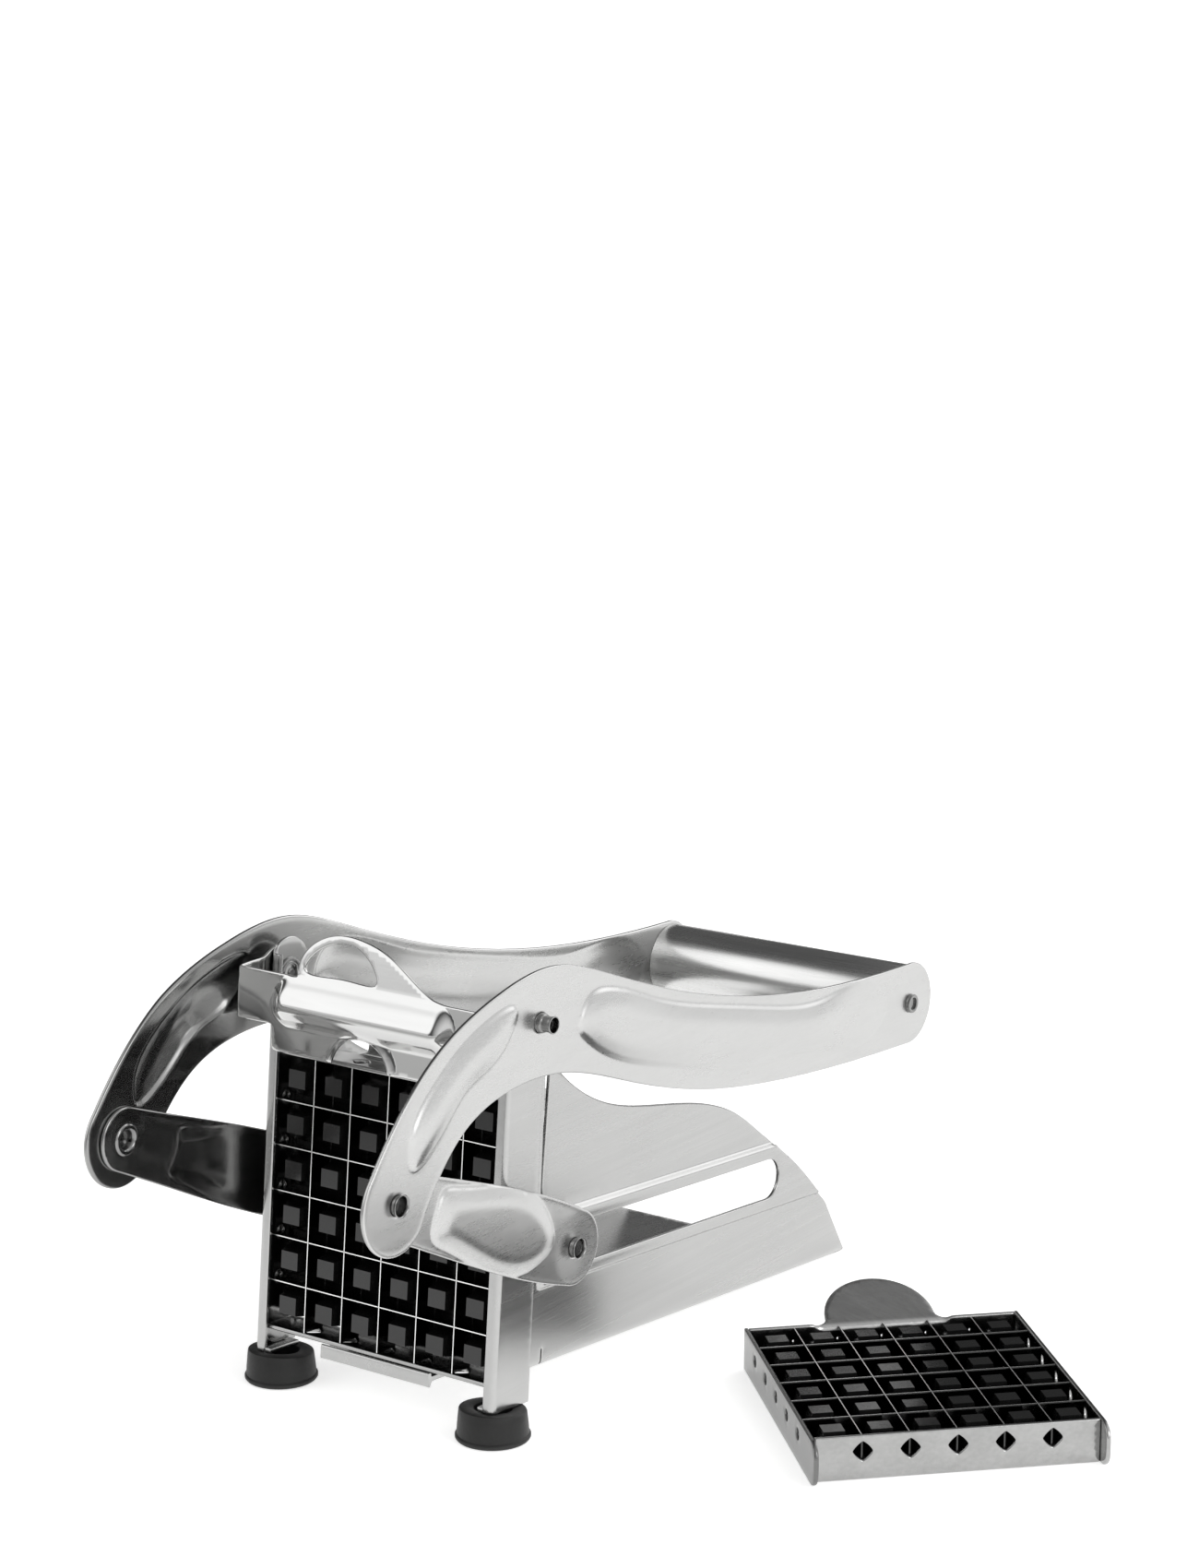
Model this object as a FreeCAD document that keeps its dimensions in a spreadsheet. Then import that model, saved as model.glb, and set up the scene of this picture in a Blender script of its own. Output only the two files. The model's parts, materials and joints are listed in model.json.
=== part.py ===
import FreeCAD, Part
import math
import os

# Lever-operated vegetable dicer. The dicer is drawn in its own upright frame: +X to its right side,
# +Y from the blade grid back along the trough, +Z up the blade grid, with the zero at the middle of
# the grid's front face. The finished parts are then leaned back onto the worktop and centred.

Vector = FreeCAD.Vector
DOC = FreeCAD.newDocument("vegetable_dicer")
SHEET = DOC.addObject("Spreadsheet::Sheet", "dims")
FINISHED = []

DIMENSIONS = [
    ("sheet_gauge", 1.2, "thickness of the pressed steel sheet"),
    ("cell_pitch", 12.0, "spacing of the blades"),
    ("blade_gauge", 0.4, "thickness of one blade"),
    ("blade_depth", 7.4, "front to back depth of a blade"),
    ("lap_slack", 0.1, "extra width of a half-lap notch"),
    ("strip_depth", 11.4, "front to back depth of a cassette strip"),
    ("cassette_front", -0.4, "front edge of the cassette strips"),
    ("plate_inner", 36.1, "inner face of the cassette's side plates"),
    ("plate_top", 37.2, "top of the cassette"),
    ("plate_bottom", -42.0, "bottom of the cassette's side plates"),
    ("plate_end_radius", 4.0, "rounded ends of the cassette's side plates"),
    ("strip_level", 36.0, "inner face of the cassette's top and bottom strips"),
    ("tab_radius", 16.5, "radius of the cassette's finger tab before it is flattened"),
    ("tab_rise", 15.5, "height of the finger tab above the strip"),
    ("peep_radius", 2.6, "half width of the diamond holes in the strips"),
    ("plate_peep_radius", 1.5, "round holes in the cassette's side plates"),
    ("channel_inner", 37.5, "inner face of the guide channels' webs"),
    ("channel_front", -2.0, "front face of the guide channels"),
    ("channel_rear", 13.4, "rear edge of the guide channels"),
    ("channel_bottom", -43.2, "bottom of the guide channels"),
    ("flange_inner", 35.3, "inner edge of the front flanges"),
    ("flange_top", 62.0, "top of the front flanges"),
    ("ear_top", 65.7, "top of the pivot ears"),
    ("shelf_inner", 33.5, "inner end of the shelf under the cassette"),
    ("wall_outer", 37.4, "outer face of the trough's walls"),
    ("wall_front", 11.4, "front edge of the trough's walls"),
    ("trough_bottom", -35.8, "underside of the trough's floor"),
    ("trough_rear", 169.5, "rear end of the trough along its bottom edge"),
    ("floor_rear", 160.0, "rear edge of the trough's floor"),
    ("lip_half", 17.5, "half width of the lip that carries the cassette's middle"),
    ("corner_slit_y", 19.4, "front of the slit in each wall's lower front corner"),
    ("corner_slit_width", 0.6, "width of that slit"),
    ("corner_slit_rise", 4.8, "height of that slit"),
    ("band_proud", 1.5, "how far the raised slot band stands out"),
    ("band_front", 16.0, "front end of the raised band"),
    ("band_top", 4.3, "top of the raised band"),
    ("band_bottom", -14.8, "bottom of the raised band"),
    ("slot_level", -5.4, "centre line of the side slots"),
    ("slot_front", 20.5, "front end of the side slots"),
    ("slot_rear", 128.0, "rear end of the side slots"),
    ("slot_radius", 5.6, "half height of the side slots"),
    ("guide_slot_front", 22.0, "front end of the floor's guide slot"),
    ("guide_slot_rear", 140.0, "rear end of the floor's guide slot"),
    ("guide_slot_radius", 1.8, "half width of the floor's guide slot"),
    ("pivot_y", 4.5, "lever pivot, behind the grid's front"),
    ("pivot_z", 56.2, "lever pivot, above the grid's middle"),
    ("knee_y", -49.8, "pin between arm and link, front to back"),
    ("knee_z", 20.3, "pin between arm and link, height"),
    ("slider_y", 27.2, "pusher axle with the lever closed"),
    ("grip_y", 189.4, "handle tube, front to back"),
    ("grip_z", 35.6, "handle tube, height"),
    ("arm_inner", 41.3, "inner face of the lever arms"),
    ("arm_emboss", 2.2, "height of the pressed ribs on the arms and links"),
    ("link_inner", 40.1, "inner face of the links"),
    ("link_gauge", 0.9, "thickness of the links' sheet"),
    ("link_half_width", 9.9, "half width of the links, and the radius of their rear ends"),
    ("link_knee_radius", 8.2, "radius of the links' front ends"),
    ("pin_radius", 2.5, "radius of the pivot pins and rivets"),
    ("pin_slack", 0.06, "radial running clearance of the pins"),
    ("pin_bore", 1.8, "radius of the hollow in the pins' ends"),
    ("pin_bore_depth", 3.0, "depth of the hollow in the pins' ends"),
    ("pivot_pin_end", 46.6, "outer end of the lever's pivot pins"),
    ("knee_pin_end", 44.1, "outer end of the arm and link pins"),
    ("slide_pin_end", 42.4, "outer end of the links' rear rivets"),
    ("pin_head_radius", 4.2, "radius of the rivet heads"),
    ("pin_head_gauge", 0.7, "thickness of the rivet heads"),
    ("grip_radius", 11.0, "outer radius of the handle tube"),
    ("grip_wall", 1.0, "wall of the handle tube"),
    ("tie_rod_radius", 3.0, "radius of the rod inside the handle tube"),
    ("plug_gauge", 3.0, "thickness of the handle tube's end plugs"),
    ("screw_radius", 2.0, "shank radius of the screws"),
    ("screw_head_radius", 2.7, "head radius of the screws"),
    ("screw_head_rise", 1.2, "head height of the screws"),
    ("screw_reach", 8.0, "how far the handle screws enter the rod"),
    ("stud_plate_half", 35.2, "half width of the stud plate, and its top edge"),
    ("stud_plate_bottom", -34.3, "bottom edge of the stud plate, clear of the trough's floor"),
    ("stud_plate_front", 7.8, "front face of the stud plate"),
    ("stud_plate_gauge", 3.0, "thickness of the stud plate"),
    ("stud_root_half", 4.2, "half width of a stud at its root"),
    ("stud_tip_half", 3.1, "half width of a stud at its tip"),
    ("stud_length", 7.6, "length of a stud"),
    ("carrier_half", 33.6, "half width of the pusher's carrier"),
    ("carrier_panel_half", 32.0, "half height of the carrier's panel"),
    ("carrier_foot_half", 12.0, "half width of the carrier's foot"),
    ("carrier_foot_level", -28.5, "underside of the carrier's foot, on the guide shoe"),
    ("plate_screw_spot", 24.0, "stud plate screws, either side of the middle and up and down"),
    ("carrier_wing_rear", 35.0, "rear end of the carrier's side wings"),
    ("axle_radius", 3.0, "radius of the pusher axle"),
    ("axle_end", 38.7, "outer end of the pusher axle"),
    ("bush_radius", 5.2, "radius of the bushes that run in the side slots"),
    ("bush_inner", 34.0, "inner end of the slot bushes"),
    ("shoe_half", 7.0, "half width of the guide shoe"),
    ("shoe_key_half", 1.5, "half width of the shoe's key in the floor slot"),
    ("cover_front", -12.0, "front face of the top cover"),
    ("cover_inner", 39.1, "inner face of the cover's side returns"),
    ("cover_gauge", 0.9, "thickness of the cover's sheet"),
    ("strap_bottom", 46.4, "bottom edge of the cover's strap"),
    ("strap_top", 59.8, "top edge of the cover's strap"),
    ("rib_half", 29.0, "half length of the cover's round rib"),
    ("rib_rise", 4.6, "how far the round rib stands out"),
    ("skirt_bottom", 39.8, "bottom edge of the cover's skirt"),
    ("notch_radius", 9.2, "finger notch in the skirt"),
    ("foot_base_radius", 9.6, "radius of a foot's lip"),
    ("foot_body_radius", 9.1, "radius of a foot above its lip"),
    ("foot_top_radius", 8.0, "radius of a foot's top"),
    ("foot_lip", 1.2, "height of a foot's lip"),
    ("foot_x", 34.5, "feet, either side of the middle"),
    ("foot_y", 4.5, "feet, front to back"),
    ("foot_base", -51.0, "underside of the feet"),
    ("foot_well_radius", 4.6, "radius of the hollow in a foot's top"),
    ("foot_well_depth", 3.0, "depth of the hollow in a foot's top"),
    ("foot_stem_x", 35.8, "stems through the shelves, either side of the middle"),
    ("foot_stem_radius", 1.3, "radius of a foot's stem"),
    ("spare_heading", 45.0, "angle of the spare cassette on the worktop"),
    ("spare_x", 114.4, "middle of the spare cassette, to the right"),
    ("spare_y", 74.0, "middle of the spare cassette, to the rear"),
]
CELLS_ACROSS = 6
BLADE_STEPS = range(1 - CELLS_ACROSS // 2, CELLS_ACROSS // 2)
STUD_STEPS = [step - (CELLS_ACROSS - 1) / 2 for step in range(CELLS_ACROSS)]
SIDES = [("left", -1), ("right", 1)]


def fill_sheet():
    for number, (alias, value, meaning) in enumerate(DIMENSIONS, start=1):
        SHEET.set(f"A{number}", meaning)
        SHEET.set(f"B{number}", str(value))
        SHEET.setAlias(f"B{number}", alias)
    DOC.recompute()


def size(alias):
    return float(SHEET.get(alias))


fill_sheet()
GAUGE = size("sheet_gauge")
PITCH = size("cell_pitch")
PIVOT = (size("pivot_y"), size("pivot_z"))
KNEE = (size("knee_y"), size("knee_z"))
SLIDER = (size("slider_y"), size("slot_level"))
GRIP = (size("grip_y"), size("grip_z"))


# ---- outlines ----

def flat(point):
    return Vector(point[0], point[1], 0)


def line(start, end):
    return Part.LineSegment(flat(start), flat(end))


def arc(start, middle, end):
    return Part.Arc(flat(start), flat(middle), flat(end))


def curve(points, closed=False):
    spline = Part.BSplineCurve()
    spline.interpolate(Points=[flat(point) for point in points], PeriodicFlag=closed)
    return spline


def polygon(points):
    return [line(start, end) for start, end in zip(points, points[1:] + points[:1])]


def rectangle(low_u, low_v, high_u, high_v):
    return polygon([(low_u, low_v), (high_u, low_v), (high_u, high_v), (low_u, high_v)])


def circle(centre, radius):
    return Part.Circle(flat(centre), Vector(0, 0, 1), radius)


def slot_outline(start, end, level, radius):
    near, far = start + radius, end - radius
    return [
        line((near, level - radius), (far, level - radius)),
        arc((far, level - radius), (end, level), (far, level + radius)),
        line((far, level + radius), (near, level + radius)),
        arc((near, level + radius), (start, level), (near, level - radius)),
    ]


def polar(centre, radius, degrees):
    turn = math.radians(degrees)
    return (centre[0] + radius * math.cos(turn), centre[1] + radius * math.sin(turn))


def along(start, end, distance, offset=0.0):
    run = (end[0] - start[0], end[1] - start[1])
    length = math.hypot(*run)
    unit = (run[0] / length, run[1] / length)
    return (start[0] + unit[0] * distance - unit[1] * offset,
            start[1] + unit[1] * distance + unit[0] * offset)


# ---- sketched features ----

def new_body(label):
    return DOC.addObject("PartDesign::Body", label)


def origin_plane(body, role):
    return next(feature for feature in body.Origin.OriginFeatures if feature.Role == role)


def sketch(body, name, role, curves, offset=None):
    drawing = body.newObject("Sketcher::SketchObject", f"{body.Name}_{name}_sketch")
    drawing.AttachmentSupport = (origin_plane(body, role), [""])
    drawing.MapMode = "FlatFace"
    drawing.addGeometry(curves, False)
    if offset:
        drawing.setExpression("AttachmentOffset.Base.z", offset)
    return drawing


def extrude(kind, body, name, drawing, length, backwards=False, both_sides=False):
    feature = body.newObject(f"PartDesign::{kind}", f"{body.Name}_{name}")
    feature.Profile = drawing
    feature.setExpression("Length", length)
    feature.Reversed = backwards
    if both_sides:
        feature.SideType = "Symmetric"
    DOC.recompute()
    return feature


def pad(body, name, drawing, length, backwards=False, both_sides=False):
    return extrude("Pad", body, name, drawing, length, backwards, both_sides)


def pocket(body, name, drawing, length, backwards=False, both_sides=False):
    before = body.Shape.Volume
    feature = extrude("Pocket", body, name, drawing, length, backwards, both_sides)
    assert body.Shape.Volume < before - 0.01, f"{feature.Name} cuts nothing"
    return feature


def side_pad(body, name, curves, side, inner, length):
    """Pads a side-view outline outwards, from the plane |X| = inner."""
    drawing = sketch(body, name, "YZ_Plane", curves, f"{side} * ({inner})")
    return pad(body, name, drawing, length, backwards=side < 0)


def side_pocket(body, name, curves, side, inner, length):
    """Cuts a side-view outline outwards, from the plane |X| = inner."""
    drawing = sketch(body, name, "YZ_Plane", curves, f"{side} * ({inner})")
    return pocket(body, name, drawing, length, backwards=side > 0)


# ---- solid primitives ----

def box(name, low, high):
    item = DOC.addObject("Part::Box", name)
    item.Length, item.Width, item.Height = (high[axis] - low[axis] for axis in range(3))
    item.Placement.Base = Vector(*low)
    return item


def rod(name, side, inner, outer, centre, radius):
    """A cylinder along X from |X| = inner to |X| = outer, with sizes held in the sheet."""
    item = DOC.addObject("Part::Cylinder", name)
    item.setExpression("Radius", radius)
    item.setExpression("Height", f"({outer}) - ({inner})")
    item.Placement.Rotation = FreeCAD.Rotation(Vector(0, 1, 0), 90 * side)
    item.Placement.Base = Vector(0, *centre)
    item.setExpression("Placement.Base.x", f"{side} * ({inner})")
    return item


def fuse(name, shapes):
    item = DOC.addObject("Part::MultiFuse", name)
    item.Shapes = shapes
    DOC.recompute()
    return item


def cut(name, base, tool):
    item = DOC.addObject("Part::Cut", name)
    item.Base = base
    item.Tool = tool
    DOC.recompute()
    assert item.Shape.Volume < base.Shape.Volume - 0.001, f"{name} cuts nothing"
    return item


def group(name, shapes):
    item = DOC.addObject("Part::Compound", name)
    item.Links = shapes
    DOC.recompute()
    return item


# ---- placing ----

def lean_angle():
    """Degrees that bring the feet and the trough's rear corner level with each other."""
    rise = size("trough_bottom") - size("foot_base")
    run = size("trough_rear") - size("foot_y")
    return math.degrees(math.atan2(rise, run))


def leaned():
    """Leans the upright frame back and rests it on the worktop, at height zero."""
    turn = FreeCAD.Rotation(Vector(1, 0, 0), -lean_angle())
    foot = turn.multVec(Vector(0, size("foot_y"), size("foot_base")))
    return FreeCAD.Placement(Vector(0, 0, -foot.z), turn)


def spare_placement():
    """Lays the spare cassette flat beside the dicer, blades up and tab to the rear."""
    heading = FreeCAD.Rotation(Vector(0, 0, 1), size("spare_heading"))
    face_up = FreeCAD.Rotation(Vector(1, 0, 0), -90)
    rear_face = size("cassette_front") + size("strip_depth")
    middle = leaned().multVec(Vector(size("spare_x"), size("spare_y"), 0))
    return FreeCAD.Placement(Vector(middle.x, middle.y, rear_face), heading.multiply(face_up))


LEANED = leaned()
SPARE = spare_placement()


def finish(item, label, placement):
    item.Label = label
    item.Placement = placement.multiply(item.Placement)
    FINISHED.append(item)


# ---- trough and its slots ----

def wall_top_edge():
    return [
        (size("wall_front"), 51.0), (24.0, 38.5), (42.0, 29.3), (66.0, 24.6), (90.0, 21.0),
        (107.5, 15.1), (121.5, 6.9), (137.0, -2.0), (150.5, -12.6), (157.0, -18.4),
    ]


def make_trough():
    body = new_body("trough")
    crest = wall_top_edge()
    front_foot = (size("wall_front"), size("trough_bottom"))
    rear_foot = (size("trough_rear"), size("trough_bottom"))
    profile = [curve(crest), line(crest[-1], rear_foot), line(rear_foot, front_foot),
               line(front_foot, crest[0])]
    pad(body, "blank", sketch(body, "blank", "YZ_Plane", profile), "2 * dims.wall_outer", both_sides=True)
    for label, side in SIDES:
        add_slot_band(body, label, side)
    inner = size("wall_outer") - GAUGE
    hollow = rectangle(-inner, size("trough_bottom") + GAUGE, inner, size("ear_top"))
    pocket(body, "hollow", sketch(body, "hollow", "XZ_Plane", hollow), "2 * dims.trough_rear + 10",
           both_sides=True)
    for label, side in SIDES:
        open_slot_band(body, label, side)
        cut_corner_slit(body, label, side)
    trim_floor(body)
    add_cassette_lip(body)
    finish(body, "trough", LEANED)


def add_slot_band(body, label, side):
    top, bottom, front = size("band_top"), size("band_bottom"), size("band_front")
    rear = [(152.6, bottom), (149.6, -12.3), (136.8, -2.3), (129.5, 2.0), (125.5, top)]
    outline = [line((front, bottom), rear[0]), curve(rear), line(rear[-1], (front, top)),
               line((front, top), (front, bottom))]
    side_pad(body, f"{label}_band", outline, side, "dims.wall_outer - 0.5", "dims.band_proud + 0.5")


def open_slot_band(body, label, side):
    top, bottom = size("band_top") - GAUGE, size("band_bottom") + GAUGE
    recess = rectangle(size("band_front") + GAUGE, bottom, size("trough_rear"), top)
    start = "dims.wall_outer - dims.sheet_gauge - 1"
    side_pocket(body, f"{label}_recess", recess, side, start, "dims.band_proud + 1")
    slot = slot_outline(size("slot_front"), size("slot_rear"), size("slot_level"), size("slot_radius"))
    side_pocket(body, f"{label}_slot", slot, side, start, "dims.band_proud + dims.sheet_gauge + 2")


def cut_corner_slit(body, label, side):
    front, bottom = size("corner_slit_y"), size("trough_bottom")
    slit = rectangle(front, bottom - 1, front + size("corner_slit_width"), bottom + size("corner_slit_rise"))
    side_pocket(body, f"{label}_corner_slit", slit, side, "dims.wall_outer - dims.sheet_gauge",
                "dims.sheet_gauge + 1")


def trim_floor(body):
    inner = size("wall_outer") - GAUGE
    through = "2 * (5 - dims.trough_bottom)"
    rear = rectangle(-inner, size("floor_rear"), inner, size("trough_rear") + 1)
    pocket(body, "rear_trim", sketch(body, "rear_trim", "XY_Plane", rear), through, both_sides=True)
    front, back, half = size("guide_slot_front"), size("guide_slot_rear"), size("guide_slot_radius")
    guide = [
        line((-half, front), (-half, back)),
        arc((-half, back), (0, back + half), (half, back)),
        line((half, back), (half, front)),
        arc((half, front), (0, front - half), (-half, front)),
    ]
    pocket(body, "guide", sketch(body, "guide", "XY_Plane", guide), through, both_sides=True)


def add_cassette_lip(body):
    """A tongue of the floor that steps down under the cassette and turns up in front of it."""
    floor, strip = size("trough_bottom"), size("strip_level") + GAUGE
    top, bottom = -strip - 0.1, -strip - 2.4
    front, rear = -1.0, size("wall_front") + 1.6
    section = polygon([
        (front, top), (front, bottom), (rear, bottom), (rear, floor + GAUGE),
        (rear - GAUGE, floor + GAUGE), (rear - GAUGE, bottom + GAUGE),
        (front + GAUGE, bottom + GAUGE), (front + GAUGE, top),
    ])
    pad(body, "lip", sketch(body, "lip", "YZ_Plane", section), "2 * dims.lip_half", both_sides=True)


# ---- guide channels, which carry the cassette and end in the pivot ears ----

def make_channel(label, side):
    body = new_body(f"{label}_guide_channel")
    front, rear, bottom = size("channel_front"), size("channel_rear"), size("channel_bottom")
    shoulder = size("flange_top") - 2.5
    crown = arc((rear - 1.5, shoulder), (PIVOT[0] + 1.0, size("ear_top")), (front, size("flange_top")))
    web = [line((front, bottom), (rear, bottom)), line((rear, bottom), (rear - 1.5, shoulder)), crown]
    web.append(line((front, size("flange_top")), (front, bottom)))
    side_pad(body, "web", web, side, "dims.channel_inner", "dims.sheet_gauge")
    outer = size("channel_inner") + GAUGE
    flange = rectangle(*sorted_x(side, size("flange_inner"), outer, bottom, size("flange_top")))
    drawing = sketch(body, "flange", "XZ_Plane", flange, "-dims.channel_front")
    pad(body, "flange", drawing, "dims.sheet_gauge", backwards=True)
    shelf = rectangle(*sorted_x(side, size("shelf_inner"), size("channel_inner") + GAUGE / 2, front,
                                rear - 3.4))
    pad(body, "shelf", sketch(body, "shelf", "XY_Plane", shelf, "dims.channel_bottom"), "dims.sheet_gauge")
    pivot_hole = [circle(PIVOT, size("pin_radius"))]
    side_pocket(body, "pivot_hole", pivot_hole, side, "dims.channel_inner - 1", "dims.sheet_gauge + 2")
    stem_hole = [circle((side * size("foot_stem_x"), size("foot_y")), size("foot_stem_radius"))]
    drawing = sketch(body, "stem_hole", "XY_Plane", stem_hole, "dims.channel_bottom - 1")
    pocket(body, "stem_hole", drawing, "dims.sheet_gauge + 2", backwards=True)
    finish(body, f"{label}_guide_channel", LEANED)


def sorted_x(side, inner, outer, low, high):
    """Corner values of a rectangle that lies between |X| = inner and |X| = outer."""
    near, far = sorted((side * inner, side * outer))
    return near, low, far, high


# ---- top cover ----

def make_cover():
    body = new_body("top_cover")
    strap_width = size("cover_inner") + size("cover_gauge")
    front, gauge = size("cover_front"), size("cover_gauge")
    strap = rectangle(-strap_width, size("strap_bottom"), strap_width, size("strap_top"))
    front_plane = "-dims.cover_front"
    pad(body, "strap", sketch(body, "strap", "XZ_Plane", strap, front_plane), "dims.cover_gauge",
        backwards=True)
    for label, side in SIDES:
        add_cover_return(body, label, side)
    pad(body, "lobe", sketch(body, "lobe", "XZ_Plane", lobe_outline(), front_plane), "dims.cover_gauge",
        backwards=True)
    rib_low, rib_high = size("strap_bottom") + 0.4, size("strap_top") - 1.6
    middle = (rib_low + rib_high) / 2
    rise = size("rib_rise")
    outside = [
        arc((front, rib_low), (front - rise, middle), (front, rib_high)),
        line((front, rib_high), (front, rib_low)),
    ]
    pad(body, "rib", sketch(body, "rib", "YZ_Plane", outside), "2 * dims.rib_half", both_sides=True)
    inside_start, inside_end = (front + gauge + 1, rib_low + gauge), (front + gauge + 1, rib_high - gauge)
    inside = [
        line(inside_start, (front, rib_low + gauge)),
        arc((front, rib_low + gauge), (front - rise + gauge, middle), (front, rib_high - gauge)),
        line((front, rib_high - gauge), inside_end),
        line(inside_end, inside_start),
    ]
    pocket(body, "rib_hollow", sketch(body, "rib_hollow", "YZ_Plane", inside),
           "2 * (dims.rib_half - dims.cover_gauge)", both_sides=True)
    half = size("rib_half")
    skirt = rectangle(-half, size("skirt_bottom"), half, size("strap_bottom") + 0.5)
    pad(body, "skirt", sketch(body, "skirt", "XZ_Plane", skirt, front_plane), "dims.cover_gauge",
        backwards=True)
    ahead, through = f"{front_plane} + 1", "dims.cover_gauge + 2"
    notch = [circle((0.6, size("skirt_bottom") - 1.6), size("notch_radius"))]
    pocket(body, "notch", sketch(body, "notch", "XZ_Plane", notch, ahead), through)
    pocket(body, "lobe_hole", sketch(body, "lobe_hole", "XZ_Plane", lobe_hole_outline(), ahead), through)
    finish(body, "top_cover", LEANED)


def lobe_outline():
    base = size("strap_top") - 0.5
    rim = [(-21.5, base), (-20.0, 66.0), (-11.6, 71.5), (-2.5, 71.6), (6.3, 69.1), (17.0, 62.8), (25.0, base)]
    return [curve(rim), line(rim[-1], rim[0])]


def lobe_hole_outline():
    return [curve([(-19.0, 63.4), (-11.6, 69.2), (-1.5, 68.5), (3.6, 62.0), (-7.3, 61.2)], closed=True)]


def add_cover_return(body, label, side):
    front = size("cover_front")
    top, bottom = size("strap_top"), size("strap_bottom")
    start, end = (-3.0, top + 1.2), (PIVOT[0] + 6.5, PIVOT[1] - 2.0)
    outline = [
        line((front, bottom), (PIVOT[0] + 1.0, bottom)),
        line((PIVOT[0] + 1.0, bottom), end),
        arc(end, (PIVOT[0] + 2.5, PIVOT[1] + 6.3), start),
        line(start, (front, top)),
        line((front, top), (front, bottom)),
    ]
    side_pad(body, f"{label}_return", outline, side, "dims.cover_inner", "dims.cover_gauge")
    hole = [circle(PIVOT, size("pin_radius"))]
    side_pocket(body, f"{label}_return_hole", hole, side, "dims.cover_inner - 1", "dims.cover_gauge + 2")


# ---- cassette: two plates, two strips, and a half-lapped grid of thin blades ----

def make_cassette(prefix, placement, tab_at_blade_side):
    for label, side in SIDES:
        make_cassette_plate(prefix, label, side, placement)
    make_cassette_strip(prefix, "top", 1, placement, tab_at_blade_side)
    make_cassette_strip(prefix, "bottom", -1, placement, tab_at_blade_side)
    make_blades(prefix, "vertical", placement)
    make_blades(prefix, "horizontal", placement)


def make_cassette_plate(prefix, label, side, placement):
    body = new_body(f"{prefix}cassette_{label}_plate")
    front, rear = size("cassette_front"), size("cassette_front") + size("strip_depth")
    top, bottom, radius = size("plate_top"), size("plate_bottom"), size("plate_end_radius")
    bite = radius * (1 - math.sqrt(0.5))
    outline = [
        line((front, top), (front, bottom + radius)),
        arc((front, bottom + radius), (front + bite, bottom + bite), (front + radius, bottom)),
        line((front + radius, bottom), (rear - radius, bottom)),
        arc((rear - radius, bottom), (rear - bite, bottom + bite), (rear, bottom + radius)),
        line((rear, bottom + radius), (rear, top)),
        line((rear, top), (front, top)),
    ]
    side_pad(body, "plate", outline, side, "dims.plate_inner", "dims.sheet_gauge")
    middle = size("blade_depth") / 2
    peeps = [circle((middle, PITCH * step), size("plate_peep_radius")) for step in BLADE_STEPS]
    side_pocket(body, "peeps", peeps, side, "dims.plate_inner - 1", "dims.sheet_gauge + 2")
    finish(body, body.Name, placement)


def make_cassette_strip(prefix, label, side, placement, tab_at_blade_side):
    body = new_body(f"{prefix}cassette_{label}_strip")
    half = size("plate_inner")
    front, rear = size("cassette_front"), size("cassette_front") + size("strip_depth")
    level = "dims.strip_level" if side > 0 else "-dims.strip_level - dims.sheet_gauge"
    blank = sketch(body, "blank", "XY_Plane", rectangle(-half, front, half, rear), level)
    pad(body, "blank", blank, "dims.sheet_gauge")
    middle, peep = size("blade_depth") / 2, size("peep_radius")
    diamonds = []
    for step in BLADE_STEPS:
        centre = PITCH * step
        corners = [(centre - peep, middle), (centre, middle - peep), (centre + peep, middle),
                   (centre, middle + peep)]
        diamonds += polygon(corners)
    drawing = sketch(body, "peeps", "XY_Plane", diamonds, f"{level} - 1")
    pocket(body, "peeps", drawing, "dims.sheet_gauge + 2", backwards=True)
    if side > 0:
        add_finger_tab(body, front if tab_at_blade_side else rear - GAUGE)
    finish(body, body.Name, placement)


def add_finger_tab(body, front):
    root, top = size("plate_top") - 0.2, size("plate_top") + size("tab_rise")
    half = size("tab_radius")
    shoulder = half * 0.9
    outline = [
        line((-half, root), (half, root)),
        line((half, root), (shoulder, root + 2.0)),
        arc((shoulder, root + 2.0), (0, top), (-shoulder, root + 2.0)),
        line((-shoulder, root + 2.0), (-half, root)),
    ]
    drawing = sketch(body, "tab", "XZ_Plane", outline, str(-front))
    pad(body, "tab", drawing, "dims.sheet_gauge", backwards=True)


def blade_box(name, direction, offset, thickness, half_length, low_y, high_y):
    low, high = offset - thickness / 2, offset + thickness / 2
    if direction == "vertical":
        return box(name, (low, low_y, -half_length), (high, high_y, half_length))
    return box(name, (-half_length, low_y, low), (half_length, high_y, high))


def make_blades(prefix, direction, placement):
    """Thin blades with a half-lap notch at each crossing: the two sets meet and never overlap."""
    crossing = "horizontal" if direction == "vertical" else "vertical"
    depth, gauge = size("blade_depth"), size("blade_gauge")
    notch_gauge = gauge + size("lap_slack")
    notch_low, notch_high = (depth / 2, depth + 1) if direction == "vertical" else (-1, depth / 2)
    half_length = size("strip_level")
    name = f"{prefix}{direction}_blades"
    blades = []
    for step in BLADE_STEPS:
        blank = blade_box(f"{name}_blank", direction, PITCH * step, gauge, half_length, 0, depth)
        notches = [
            blade_box(f"{name}_notch", crossing, PITCH * other, notch_gauge, half_length, notch_low,
                      notch_high)
            for other in BLADE_STEPS
        ]
        blades.append(cut(f"{name}_blade", blank, group(f"{name}_notches", notches)))
    finish(group(name, blades), name, placement)


# ---- stud plate ----

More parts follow.
